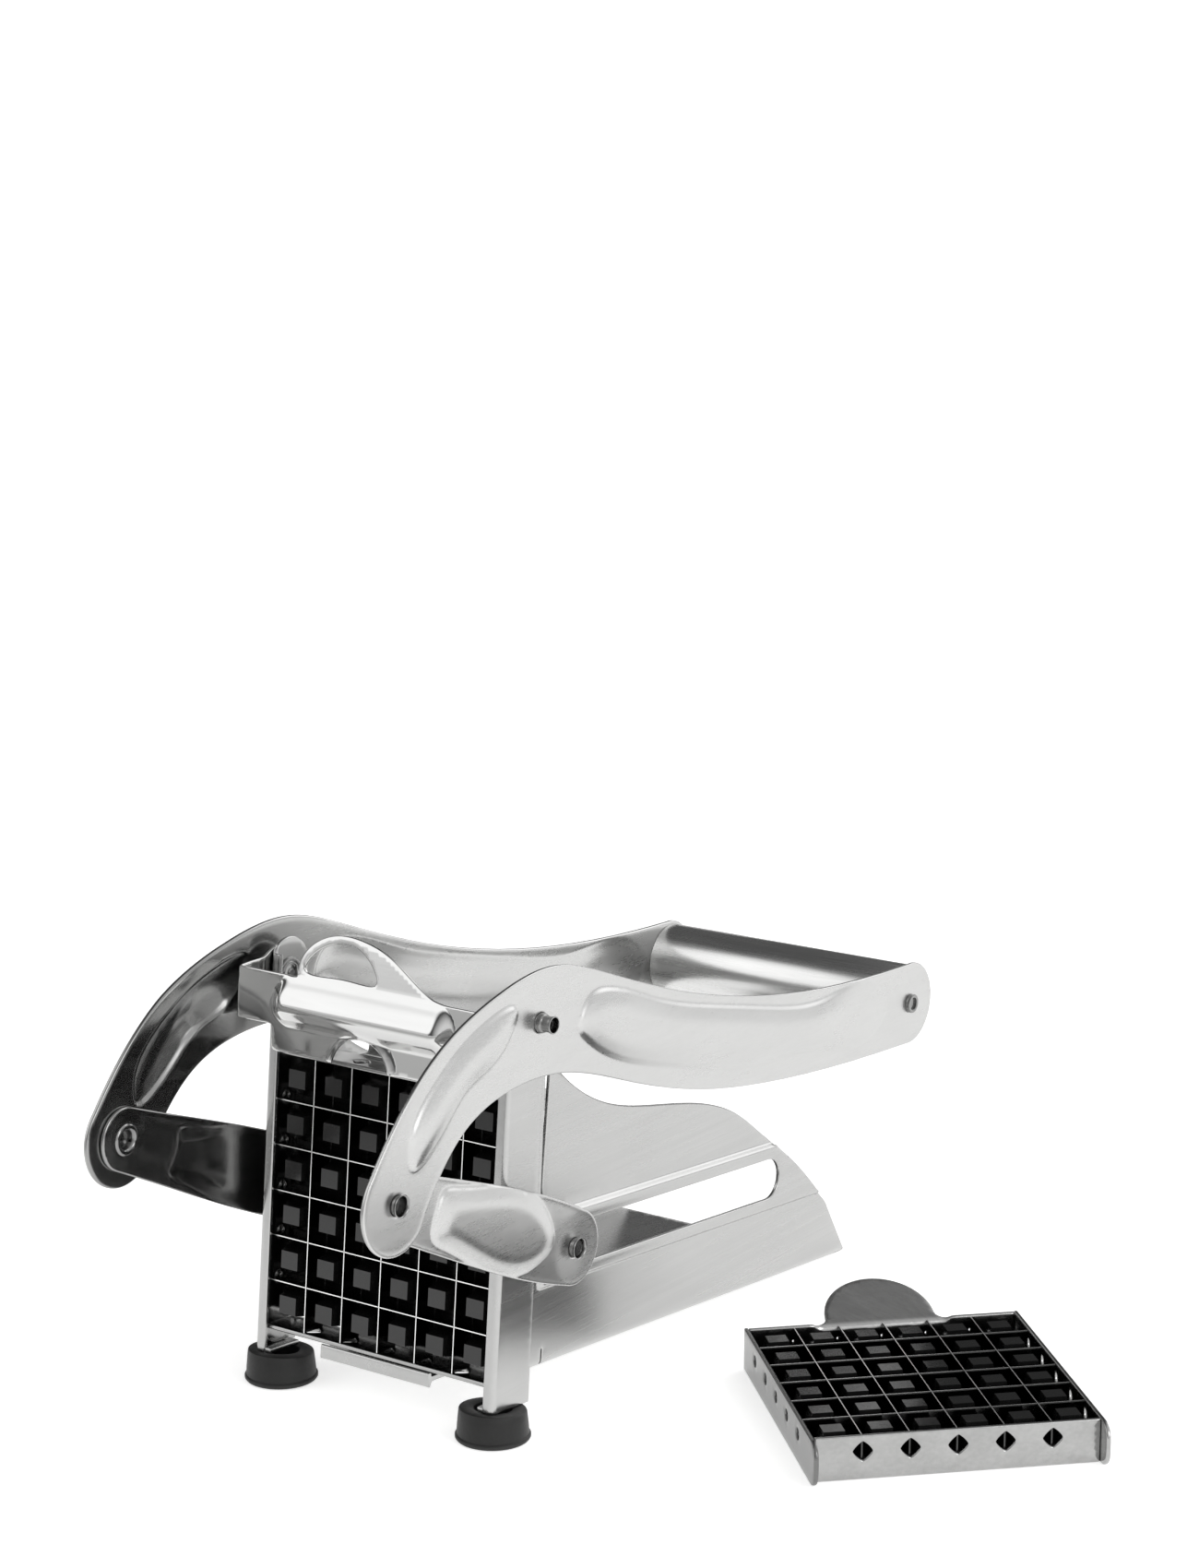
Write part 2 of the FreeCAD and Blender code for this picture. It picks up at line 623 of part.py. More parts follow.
def make_stud_plate(label, placement):
    half, front = size("stud_plate_half"), size("stud_plate_front")
    back = front + size("stud_plate_gauge")
    slab = box(f"{label}_slab", (-half, front, size("stud_plate_bottom")), (half, back, half))
    studs = [make_stud(label, PITCH * column, PITCH * row) for column in STUD_STEPS for row in STUD_STEPS]
    finish(fuse(label, [slab] + studs), label, placement)


def make_stud(label, across, height):
    stud = DOC.addObject("Part::Wedge", f"{label}_stud")
    tip, root = size("stud_tip_half"), size("stud_root_half")
    stud.Xmin, stud.Xmax, stud.Zmin, stud.Zmax = across - tip, across + tip, height - tip, height + tip
    stud.X2min, stud.X2max, stud.Z2min, stud.Z2max = across - root, across + root, height - root, height + root
    stud.Ymax = size("stud_plate_front") + 0.2
    stud.Ymin = size("stud_plate_front") - size("stud_length")
    return stud


# ---- pusher, behind the stud plate ----

def make_pusher():
    make_stud_plate("pusher_stud_plate", LEANED)
    make_carrier()
    axle = rod("pusher_axle_bar", 1, "-dims.axle_end", "dims.axle_end", SLIDER, "dims.axle_radius")
    finish(group("pusher_axle", [axle]), "pusher_axle", LEANED)
    make_slot_bushes()
    make_guide_shoe()
    make_plate_screws()


def plate_back():
    return size("stud_plate_front") + size("stud_plate_gauge")


def make_carrier():
    body = new_body("pusher_carrier")
    half, back = size("carrier_half"), plate_back()
    panel = rectangle(-half, -size("carrier_panel_half"), half, size("carrier_panel_half"))
    pad(body, "panel", sketch(body, "panel", "XZ_Plane", panel, str(-back)), "dims.sheet_gauge",
        backwards=True)
    rear, low, high = size("carrier_wing_rear"), size("band_bottom") + 3, size("band_top") - 2
    for label, side in SIDES:
        wing = [
            line((back + GAUGE / 2, low), (rear - 5, low)),
            arc((rear - 5, low), (rear, (low + high) / 2), (rear - 5, high)),
            line((rear - 5, high), (back + GAUGE / 2, high)),
            line((back + GAUGE / 2, high), (back + GAUGE / 2, low)),
        ]
        inner = "dims.carrier_half - dims.sheet_gauge"
        side_pad(body, f"{label}_wing", wing, side, inner, "dims.sheet_gauge")
        hole = [circle(SLIDER, size("axle_radius"))]
        side_pocket(body, f"{label}_axle_hole", hole, side, f"{inner} - 1", "dims.sheet_gauge + 2")
    add_carrier_foot(body, back, rear)
    holes = [circle(spot, size("screw_radius")) for spot in plate_screw_spots()]
    pocket(body, "screw_holes", sketch(body, "screw_holes", "XZ_Plane", holes, str(1 - back)),
           "dims.sheet_gauge + 2")
    finish(body, "pusher_carrier", LEANED)


def add_carrier_foot(body, back, rear):
    half = size("carrier_foot_half")
    foot = rectangle(-half, back + GAUGE / 2, half, rear)
    pad(body, "foot", sketch(body, "foot", "XY_Plane", foot, "dims.carrier_foot_level"), "dims.sheet_gauge")
    drawing = sketch(body, "foot_hole", "XY_Plane", [circle(shoe_spot(), size("screw_radius"))],
                     "dims.carrier_foot_level - 1")
    pocket(body, "foot_hole", drawing, "dims.sheet_gauge + 2", backwards=True)


def shoe_spot():
    """Middle of the guide shoe and its screw, seen from above."""
    return (0, size("carrier_wing_rear") - 9)


def plate_screw_spots():
    reach = size("plate_screw_spot")
    return [(across * reach, height * reach) for across in (-1, 1) for height in (-1, 1)]


def make_slot_bushes():
    bushes = []
    for label, side in SIDES:
        outside = rod(f"{label}_bush_blank", side, "dims.bush_inner", "dims.axle_end", SLIDER,
                      "dims.bush_radius")
        bore = rod(f"{label}_bush_bore", side, "dims.bush_inner - 1", "dims.axle_end + 1", SLIDER,
                   "dims.axle_radius")
        DOC.recompute()
        bushes.append(cut(f"{label}_bush", outside, bore))
    finish(group("slot_bushes", bushes), "slot_bushes", LEANED)


def make_guide_shoe():
    body = new_body("guide_shoe")
    half, key = size("shoe_half"), size("shoe_key_half")
    top = size("carrier_foot_level")
    seat = size("trough_bottom") + GAUGE + 0.4
    key_bottom = size("trough_bottom") - 0.6
    profile = polygon([
        (-half, seat), (-key, seat), (-key, key_bottom), (key, key_bottom),
        (key, seat), (half, seat), (half, top), (-half, top),
    ])
    middle = shoe_spot()[1]
    drawing = sketch(body, "section", "XZ_Plane", profile, str(-middle))
    pad(body, "section", drawing, "dims.shoe_half", both_sides=True)
    screw_hole = [circle(shoe_spot(), size("screw_radius") - 0.6)]
    drawing = sketch(body, "screw_hole", "XY_Plane", screw_hole, "dims.carrier_foot_level - 3.5")
    pocket(body, "screw_hole", drawing, "5", backwards=True)
    finish(body, "guide_shoe", LEANED)
    make_guide_screw(middle, top)


def upright_disc(name, centre, level, height, radius):
    item = DOC.addObject("Part::Cylinder", name)
    item.Radius = radius
    item.Height = height
    item.Placement.Base = Vector(centre[0], centre[1], level)
    return item


def make_guide_screw(middle, top):
    shank = upright_disc("guide_screw_shank", (0, middle), top - 3.4, 3.4 + 0.2, size("screw_radius") - 0.6)
    neck = upright_disc("guide_screw_neck", (0, middle), top, GAUGE + 0.2, size("screw_radius"))
    head = upright_disc("guide_screw_head", (0, middle), top + GAUGE, 1.6, size("screw_head_radius"))
    finish(fuse("guide_screw", [shank, neck, head]), "guide_screw", LEANED)


def make_plate_screws():
    screws = [make_plate_screw(across, height, plate_back()) for across, height in plate_screw_spots()]
    finish(group("plate_screws", screws), "plate_screws", LEANED)


def make_plate_screw(across, height, back):
    neck = DOC.addObject("Part::Cylinder", "plate_screw_neck")
    neck.Radius = size("screw_radius")
    neck.Height = GAUGE + 0.2
    head = DOC.addObject("Part::Cylinder", "plate_screw_head")
    head.Radius = size("screw_head_radius")
    head.Height = 1.4
    to_rear = FreeCAD.Rotation(Vector(1, 0, 0), -90)
    neck.Placement = FreeCAD.Placement(Vector(across, back, height), to_rear)
    head.Placement = FreeCAD.Placement(Vector(across, back + GAUGE, height), to_rear)
    return fuse("plate_screw", [neck, head])


# ---- lever: two arms, the tube between them and the pins they turn on ----

def arm_outline():
    cap, knee_cap = size("grip_radius") + 0.9, 12.6
    rear_top, rear_tip, rear_low = polar(GRIP, cap, 98), polar(GRIP, cap, 0), polar(GRIP, cap, -84)
    front_high, front_tip = polar(KNEE, knee_cap, 158), polar(KNEE, knee_cap, 240)
    front_low = polar(KNEE, knee_cap, 320)
    upper = [
        front_high, (-53.2, 37.6), (-36.3, 54.5), (-13.0, 65.6), (9.0, 69.8), (32.0, 65.2), (68.5, 55.4),
        (120.0, 47.8), (165.0, 46.6), rear_top,
    ]
    lower = [
        rear_low, (158.0, 23.1), (117.0, 23.9), (84.0, 26.8), (46.6, 34.6), (14.0, 42.0), (-7.0, 40.8),
        (-24.0, 34.0), (-33.4, 24.4), front_low,
    ]
    return [curve(upper), arc(rear_top, rear_tip, rear_low), curve(lower),
            arc(front_low, front_tip, front_high)]


def handle_rib_outline():
    lower = [(22.0, 50.5), (32.6, 44.3), (56.7, 37.6), (81.7, 33.0), (108.0, 30.3), (140.0, 29.4),
             (171.0, 30.6)]
    upper = [
        (176.0, 37.0), (170.0, 43.2), (140.0, 43.8), (107.0, 46.2), (81.0, 50.2),
        (56.0, 55.2), (33.0, 61.2), (23.5, 59.0),
    ]
    return [curve(lower + upper, closed=True)]


def knee_rib_outline():
    rim = [
        (-45.5, 29.0), (-46.0, 35.5), (-35.0, 49.5), (-18.0, 59.5), (-6.0, 61.0),
        (-9.5, 52.5), (-24.0, 44.0), (-37.0, 31.5),
    ]
    return [curve(rim, closed=True)]


def make_arm(label, side):
    body = new_body(f"{label}_arm")
    side_pad(body, "plate", arm_outline(), side, "dims.arm_inner", "dims.sheet_gauge")
    ribs = handle_rib_outline() + knee_rib_outline()
    side_pad(body, "ribs", ribs, side, "dims.arm_inner + dims.sheet_gauge / 2",
             "dims.arm_emboss + dims.sheet_gauge / 2")
    running = size("pin_radius") + size("pin_slack")
    holes = [circle(PIVOT, running), circle(KNEE, size("pin_radius")), circle(GRIP, size("screw_radius"))]
    side_pocket(body, "holes", holes, side, "dims.arm_inner - 1", "dims.sheet_gauge + 2")
    finish(body, f"{label}_arm", LEANED)


def hollow_pin(name, side, inner, outer, centre, head_at):
    """A rivet along X with a round head and a hollow outer end."""
    shank = rod(f"{name}_shank", side, inner, outer, centre, "dims.pin_radius")
    head = rod(f"{name}_head", side, head_at, f"{head_at} + dims.pin_head_gauge", centre,
               "dims.pin_head_radius")
    bore = rod(f"{name}_bore", side, f"{outer} - dims.pin_bore_depth", f"{outer} + 1", centre,
               "dims.pin_bore")
    DOC.recompute()
    finish(cut(name, fuse(f"{name}_solid", [shank, head]), bore), name, LEANED)


def make_lever():
    for label, side in SIDES:
        make_arm(label, side)
        hollow_pin(f"{label}_knee_pin", side, "dims.link_inner - dims.pin_head_gauge",
                   "dims.knee_pin_end", KNEE,
                   "dims.link_inner - dims.pin_head_gauge - 0.02")
    make_handle()


def make_handle():
    reach = "dims.arm_inner"
    outside = rod("handle_outside", 1, f"-{reach}", reach, GRIP, "dims.grip_radius")
    inside = rod("handle_inside", 1, f"-{reach} - 1", f"{reach} + 1", GRIP,
                 "dims.grip_radius - dims.grip_wall")
    DOC.recompute()
    finish(cut("handle_tube", outside, inside), "handle_tube", LEANED)
    core = rod("tie_rod_core", 1, f"-{reach}", reach, GRIP, "dims.tie_rod_radius")
    tapped = [
        rod(f"{label}_tie_rod_bore", side, f"{reach} - dims.screw_reach", f"{reach} + 1", GRIP,
            "dims.screw_radius")
        for label, side in SIDES
    ]
    DOC.recompute()
    finish(cut("handle_tie_rod", core, group("tie_rod_bores", tapped)), "handle_tie_rod", LEANED)
    make_handle_ends(reach)


def make_handle_ends(reach):
    plugs, screws = [], []
    for label, side in SIDES:
        inner = f"{reach} - dims.plug_gauge"
        disc = rod(f"{label}_plug_disc", side, inner, reach, GRIP, "dims.grip_radius - dims.grip_wall")
        bore = rod(f"{label}_plug_bore", side, f"{inner} - 1", f"{reach} + 1", GRIP, "dims.tie_rod_radius")
        face = f"{reach} + dims.sheet_gauge"
        shank = rod(f"{label}_screw_shank", side, f"{reach} - dims.screw_reach", face, GRIP,
                    "dims.screw_radius")
        head = rod(f"{label}_screw_head", side, face, f"{face} + dims.screw_head_rise", GRIP,
                   "dims.screw_head_radius")
        socket = rod(f"{label}_screw_socket", side, f"{face} + 0.5", f"{face} + 5", GRIP, "dims.pin_bore")
        DOC.recompute()
        plugs.append(cut(f"{label}_plug", disc, bore))
        screws.append(cut(f"{label}_screw", fuse(f"{label}_screw_solid", [shank, head]), socket))
    finish(group("handle_end_plugs", plugs), "handle_end_plugs", LEANED)
    finish(group("handle_screws", screws), "handle_screws", LEANED)


# ---- links from the arms to the pusher ----

def make_link(label, side):
    body = new_body(f"{label}_link")
    length = math.dist(KNEE, SLIDER)
    side_pad(body, "plate", link_outline(length), side, "dims.link_inner", "dims.link_gauge")
    side_pad(body, "rib", link_rib_outline(length), side, "dims.link_inner + dims.link_gauge / 2",
             "dims.arm_emboss + dims.link_gauge / 2")
    holes = [circle(KNEE, size("pin_radius") + size("pin_slack")), circle(SLIDER, size("pin_radius"))]
    side_pocket(body, "holes", holes, side, "dims.link_inner - 1", "dims.link_gauge + 2")
    finish(body, f"{label}_link", LEANED)
    hollow_pin(f"{label}_slide_pin", side, "dims.link_inner - dims.pin_head_gauge", "dims.slide_pin_end",
               SLIDER,
               "dims.link_inner - dims.pin_head_gauge")


def link_outline(length):
    knee, half = size("link_knee_radius"), size("link_half_width")
    upper = [(0.0, knee), (13.0, knee + 0.6), (28.0, half - 0.2), (length, half)]
    lower = [(reach, -offset) for reach, offset in reversed(upper)]
    return [
        curve([along(KNEE, SLIDER, *spot) for spot in upper]),
        arc(along(KNEE, SLIDER, *upper[-1]), along(KNEE, SLIDER, length + half),
            along(KNEE, SLIDER, *lower[0])),
        curve([along(KNEE, SLIDER, *spot) for spot in lower]),
        arc(along(KNEE, SLIDER, *lower[-1]), along(KNEE, SLIDER, -knee), along(KNEE, SLIDER, *upper[0])),
    ]


def link_rib_outline(length):
    start, end, wide, narrow = 18.0, length - 11.0, 7.4, 6.4
    rim = [
        (start, -2.0), (start + 1.5, 1.2 - wide), (start + 6, -wide), (end - 5, -narrow),
        (end, 0.0), (end - 5, narrow), (start + 6, wide), (start + 1.5, wide - 1.2),
    ]
    return [curve([along(KNEE, SLIDER, *spot) for spot in rim], closed=True)]


# ---- feet ----

def make_foot(label, side):
    """A rubber foot whose base stands level while its top follows the leaning shelf."""
    spot = Vector(side * size("foot_x"), size("foot_y"), size("foot_base"))
    centre = LEANED.multVec(spot)
    rise = size("channel_bottom") - size("foot_base")
    cone = DOC.addObject("Part::Cone", f"{label}_foot_cone")
    cone.Radius1, cone.Radius2 = size("foot_body_radius"), size("foot_top_radius")
    cone.Height = rise + 2
    cone.Placement = FreeCAD.Placement(centre, FreeCAD.Rotation())
    lip = upright_disc(f"{label}_foot_lip", (centre.x, centre.y), 0, size("foot_lip"),
                       size("foot_base_radius"))
    above = box(f"{label}_foot_trim", (-20, -20, 0), (20, 20, 20))
    above.Placement = LEANED.multiply(FreeCAD.Placement(Vector(spot.x - 20, spot.y - 20,
                                                               size("channel_bottom")),
                                                        FreeCAD.Rotation()))
    DOC.recompute()
    blank = cut(f"{label}_foot_blank", fuse(f"{label}_foot_solid", [cone, lip]), above)
    depth = size("foot_well_depth")
    top = size("channel_bottom")
    well = upright_disc(f"{label}_foot_well", (spot.x, spot.y), top - depth, depth + 1,
                        size("foot_well_radius"))
    well.Placement = LEANED.multiply(well.Placement)
    stem_spot = (side * size("foot_stem_x"), spot.y)
    stem = upright_disc(f"{label}_foot_stem", stem_spot, top - depth - 1, depth + 1 + GAUGE,
                        size("foot_stem_radius"))
    stem.Placement = LEANED.multiply(stem.Placement)
    DOC.recompute()
    foot = fuse(f"{label}_foot", [cut(f"{label}_foot_hollowed", blank, well), stem])
    finish(foot, f"{label}_foot", FreeCAD.Placement())


def make_pivot_pins():
    for label, side in SIDES:
        inner = "dims.channel_inner - dims.pin_head_gauge"
        hollow_pin(f"{label}_pivot_pin", side, inner, "dims.pivot_pin_end", PIVOT, inner)


# ---- centring, checking and writing ----

def overall_box():
    reach = FreeCAD.BoundBox()
    for item in FINISHED:
        reach.add(item.Shape.optimalBoundingBox(False))
    return reach


def centre_on_base():
    """Moves every part so that the origin is the middle of the whole set's base."""
    DOC.recompute()
    reach = overall_box()
    shift = FreeCAD.Placement(Vector(-reach.Center.x, -reach.Center.y, -reach.ZMin), FreeCAD.Rotation())
    for item in FINISHED:
        item.Placement = shift.multiply(item.Placement)
    DOC.recompute()
    return shift


def check_model():
    for item in DOC.Objects:
        assert not {"Invalid", "Error"} & set(item.State), f"{item.Name}: {item.State}"
    labels = [item.Label for item in FINISHED]
    assert len(set(labels)) == len(labels), "two parts share a name"
    for item in FINISHED:
        assert not item.Shape.isNull() and item.Shape.isValid(), f"{item.Label} has no valid shape"
        assert item.Shape.Solids, f"{item.Label} has no solid"


def write_parts():
    os.makedirs("parts", exist_ok=True)
    for item in FINISHED:
        item.Shape.exportStep(f"parts/{item.Label}.step")


make_trough()
for label, side in SIDES:
    make_channel(label, side)
    make_foot(label, side)
make_cover()
make_pivot_pins()
make_cassette("", LEANED, tab_at_blade_side=False)
make_pusher()
make_lever()
for label, side in SIDES:
    make_link(label, side)
make_cassette("spare_", SPARE, tab_at_blade_side=True)
make_stud_plate("spare_stud_plate", SPARE)
SHIFT = centre_on_base()
check_model()
write_parts()
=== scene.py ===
import json
import math

import bmesh
import bpy
import numpy as np
from mathutils import Matrix, Vector
from mathutils.geometry import delaunay_2d_cdt
from mathutils.kdtree import KDTree


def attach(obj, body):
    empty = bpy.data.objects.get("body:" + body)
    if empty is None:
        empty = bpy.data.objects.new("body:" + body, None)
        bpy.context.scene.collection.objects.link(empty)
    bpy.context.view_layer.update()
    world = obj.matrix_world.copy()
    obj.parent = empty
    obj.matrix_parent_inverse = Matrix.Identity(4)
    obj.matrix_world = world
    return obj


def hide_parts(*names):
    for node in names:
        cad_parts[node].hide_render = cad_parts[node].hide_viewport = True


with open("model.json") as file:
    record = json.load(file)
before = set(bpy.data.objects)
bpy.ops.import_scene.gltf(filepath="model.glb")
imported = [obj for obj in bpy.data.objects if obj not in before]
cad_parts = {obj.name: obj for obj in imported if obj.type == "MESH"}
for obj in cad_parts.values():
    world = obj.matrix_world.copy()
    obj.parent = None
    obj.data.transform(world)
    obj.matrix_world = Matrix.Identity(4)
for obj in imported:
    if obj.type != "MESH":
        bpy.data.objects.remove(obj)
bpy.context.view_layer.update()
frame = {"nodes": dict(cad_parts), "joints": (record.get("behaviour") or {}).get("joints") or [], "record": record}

# Lever-operated vegetable dicer. Lengths are in millimetres in the dicer's own upright frame: +X to its
# right side, +Y from the blade grid to the rear, +Z up the grid, zero at the middle of the grid's front.
# TO_ROW takes them to the frame's metres.

NODES = frame["nodes"]
JOINTS = {joint["name"]: joint for joint in frame["joints"]}
BODIES = frame["record"]["behaviour"]["bodies"]
SLOT_OF = {part["node"]: part["material_slot"] for part in frame["record"]["subparts"]}
BODY_OF = {node: body for body, members in BODIES.items() for node in members}
SIDES = (("left", -1), ("right", 1))

PIVOT = (4.5, 56.2)
KNEE = (-49.8, 20.3)
SLIDER = (27.2, -5.4)
GRIP = (189.4, 35.6)
RIGHTWARDS = Vector((1.0, 0.0, 0.0))
REARWARDS = Vector(JOINTS["pusher_slide"]["axis"]).normalized()
UPWARDS = RIGHTWARDS.cross(REARWARDS)
PIVOT_PLACE = Vector(JOINTS["lever_hinge"]["pos_m"])
ZERO = PIVOT_PLACE - REARWARDS * PIVOT[0] * 0.001 - UPWARDS * PIVOT[1] * 0.001
TURN = Matrix((RIGHTWARDS, REARWARDS, UPWARDS)).transposed().to_4x4()
TO_ROW = Matrix.Translation(ZERO) @ TURN @ Matrix.Scale(0.001, 4)
FROM_ROW = TO_ROW.inverted()


# ---- material nodes ----

class Nodes:
    """A material's or world's node tree with short calls for adding and joining nodes."""

    def __init__(self, owner, shader):
        owner.use_nodes = True
        self.owner = owner
        self.tree = owner.node_tree
        self.shader = self.tree.nodes[shader]

    def add(self, kind, inputs=None, **settings):
        node = self.tree.nodes.new(kind)
        for key, value in settings.items():
            setattr(node, key, value)
        for key, value in (inputs or {}).items():
            self.feed(node.inputs[key], value)
        return node

    def feed(self, socket, value):
        if isinstance(value, bpy.types.NodeSocket):
            self.tree.links.new(value, socket)
        else:
            socket.default_value = value

    def scaled(self, scale, turn=(0.0, 0.0, 0.0)):
        place = self.add("ShaderNodeTexCoord").outputs["Object"]
        return self.add("ShaderNodeMapping", {"Vector": place, "Scale": scale, "Rotation": turn}).outputs[0]

    def noise(self, scale, detail=3.0, vector=None, roughness=0.55):
        inputs = {"Scale": scale, "Detail": detail, "Roughness": roughness}
        inputs["Vector"] = vector if vector else self.add("ShaderNodeTexCoord").outputs["Object"]
        return self.add("ShaderNodeTexNoise", inputs).outputs["Fac"]

    def spread(self, value, low, high, start=0.3, end=0.7):
        inputs = {"Value": value, "From Min": start, "From Max": end, "To Min": low, "To Max": high}
        return self.add("ShaderNodeMapRange", inputs).outputs["Result"]

    def math(self, operation, first, second=0.0):
        return self.add("ShaderNodeMath", {0: first, 1: second}, operation=operation).outputs[0]

    def blend(self, factor, first, second):
        node = self.add("ShaderNodeMix", data_type="RGBA")
        self.feed(node.inputs[0], factor)
        self.feed(node.inputs[6], first)
        self.feed(node.inputs[7], second)
        return node.outputs[2]

    def bump(self, height, distance, strength=1.0, under=None):
        inputs = {"Height": height, "Distance": distance, "Strength": strength}
        if under:
            inputs["Normal"] = under
        return self.add("ShaderNodeBump", inputs).outputs["Normal"]

    def toward(self, vector, direction, start, end):
        """0 to 1 as a vector's reach along a direction goes from start to end."""
        product = self.add("ShaderNodeVectorMath", {0: vector, 1: direction}, operation="DOT_PRODUCT")
        return self.spread(product.outputs["Value"], 0.0, 1.0, start, end)

    def faces_inwards(self):
        """1 where a face looks towards the dicer's middle plane, 0 where it looks away."""
        coords = self.add("ShaderNodeTexCoord").outputs
        across = self.toward(coords["Object"], (1.0, 0.0, 0.0), ZERO.x - 0.001, ZERO.x + 0.001)
        facing = self.toward(coords["Normal"], (1.0, 0.0, 0.0), -0.3, 0.3)
        return self.math("ABSOLUTE", self.math("SUBTRACT", across, facing))

    def convex(self):
        """1 along convex edges, 0 elsewhere; it marks both edge wear and painted edge highlights."""
        point = self.add("ShaderNodeNewGeometry").outputs["Pointiness"]
        return self.spread(point, 0.0, 1.0, 0.52, 0.60)


def new_material(name):
    return Nodes(bpy.data.materials.new(name), "Principled BSDF")


def grey(value):
    return (value, value, value * 0.992, 1.0)


def steel(name, tone, rough, grain, grain_depth, smudge=0.06, wear_and_highlight=0.25, streak=0.1, inside=1.0):
    """Stainless sheet: fine scratches along the finish, soft smudges, and brighter convex edges, partly wear and
    partly a painted highlight.

    grain is how many times finer the scratches are along x, y and z. inside is the share of the tone that is
    left, ahead of the lever's pivot, on faces that look towards the dicer's middle plane; the rest is painted
    shade."""
    nodes = new_material(name)
    fine = nodes.noise(1.0, 3.0, nodes.scaled(grain), 0.6)
    broad = nodes.noise(1.0, 2.0, nodes.scaled([value * 0.16 for value in grain]), 0.5)
    cloud = nodes.noise(24.0, 2.0)
    both = nodes.math("ADD", nodes.math("MULTIPLY", fine, 0.55), nodes.math("MULTIPLY", broad, 0.45))
    dark, pale = grey(tone * (1 - streak)), grey(min(1.0, tone * (1 + streak)))
    base = nodes.blend(nodes.spread(both, 0.0, 1.0), dark, pale)
    base = nodes.blend(nodes.spread(cloud, 0.0, smudge * 2.0, 0.3, 0.8), base, grey(tone * 0.8))
    shine = nodes.math("ADD", nodes.spread(cloud, rough * 0.9, rough * 1.1),
                       nodes.spread(both, -rough * 0.12, rough * 0.12))
    # Painted shade: faces that look inwards, ahead of the lever's pivot, are darkened.
    if inside < 1.0:
        behind = nodes.toward(nodes.add("ShaderNodeTexCoord").outputs["Object"], (0.0, 1.0, 0.0),
                              PIVOT_PLACE.y - 0.032, PIVOT_PLACE.y + 0.028)
        inner = nodes.math("MULTIPLY", nodes.faces_inwards(), nodes.math("SUBTRACT", 1.0, behind))
        base = nodes.blend(nodes.math("MULTIPLY", inner, 1.0 - inside), base, grey(0.0))
        shine = nodes.math("SUBTRACT", shine, nodes.math("MULTIPLY", inner, rough * 0.35))
    # Brighter convex edges: partly edge wear, partly a painted highlight.
    base = nodes.blend(nodes.math("MULTIPLY", nodes.convex(), wear_and_highlight), base, grey(min(1.0, tone * 1.5)))
    nodes.feed(nodes.shader.inputs["Base Color"], base)
    nodes.feed(nodes.shader.inputs["Roughness"], shine)
    nodes.shader.inputs["Metallic"].default_value = 1.0
    nodes.feed(nodes.shader.inputs["Normal"], nodes.bump(both, grain_depth))
    return nodes.owner


def moulded(name, tone, wear_and_highlight_tone, rough, grain_size, grain_depth, specular=0.5):
    """Moulded plastic or rubber: fine mould texture, faint dust in the tone, and paler convex edges, partly wear
    and partly a painted highlight.
    """
    nodes = new_material(name)
    grain = nodes.noise(grain_size, 3.0)
    cloud = nodes.noise(60.0, 4.0)
    base = nodes.blend(nodes.spread(cloud, 0.0, 1.0), grey(tone * 0.8), grey(tone * 1.3))
    # Paler convex edges: partly edge wear, partly a painted highlight.
    base = nodes.blend(nodes.math("MULTIPLY", nodes.convex(), 0.55), base, grey(wear_and_highlight_tone))
    nodes.feed(nodes.shader.inputs["Base Color"], base)
    shine = nodes.math("ADD", nodes.spread(cloud, rough * 0.85, rough * 1.15),
                       nodes.spread(grain, -0.03, 0.03))
    nodes.feed(nodes.shader.inputs["Roughness"], shine)
    nodes.shader.inputs["Specular IOR Level"].default_value = specular
    nodes.feed(nodes.shader.inputs["Normal"], nodes.bump(grain, grain_depth))
    return nodes.owner


MICRON = 0.000001
FINISH_X = (120.0, 900.0, 900.0)
MATERIALS = {
    "brushed_steel_sheet": steel("brushed_sheet", 0.46, 0.26, (2500.0, 25.0, 2500.0), MICRON, streak=0.06),
    "polished_steel": steel("polished_sheet", 0.62, 0.10, (60.0, 500.0, 500.0), 3 * MICRON, smudge=0.03,
                            streak=0.04),
    # The satin steel keeps 0.55 of its tone on inward faces ahead of the pivot: painted shade.
    "satin_steel": steel("satin_sheet", 0.54, 0.29, (2500.0, 300.0, 2500.0), MICRON, smudge=0.04,
                         streak=0.04, inside=0.55),
    "tube_steel": steel("tube_sheet", 0.66, 0.27, (60.0, 1300.0, 1300.0), 12 * MICRON, smudge=0.04,
                        streak=0.12),
    "cassette_steel": steel("cassette_sheet", 0.38, 0.20, FINISH_X, 4 * MICRON, smudge=0.10, streak=0.12),
    "shaded_steel": steel("shaded_sheet", 0.17, 0.22, FINISH_X, 4 * MICRON, smudge=0.10, streak=0.12),
    "blade_steel": steel("blade_sides", 0.07, 0.16, (300.0, 900.0, 300.0), 3 * MICRON, smudge=0.04, wear_and_highlight=0.0),
    "blade_edge": steel("ground_edge", 0.98, 0.34, (300.0, 900.0, 300.0), 3 * MICRON, smudge=0.02),
    "pin_steel": steel("turned_pin", 0.24, 0.16, (500.0, 1200.0, 1200.0), 6 * MICRON, wear_and_highlight=0.6),
    "black_plastic": moulded("black_plastic", 0.0025, 0.012, 0.16, 900.0, 6 * MICRON, specular=0.6),
    "foot_rubber": moulded("foot_rubber", 0.014, 0.05, 0.50, 1100.0, 50 * MICRON, specular=0.3),
}


# ---- outlines ----

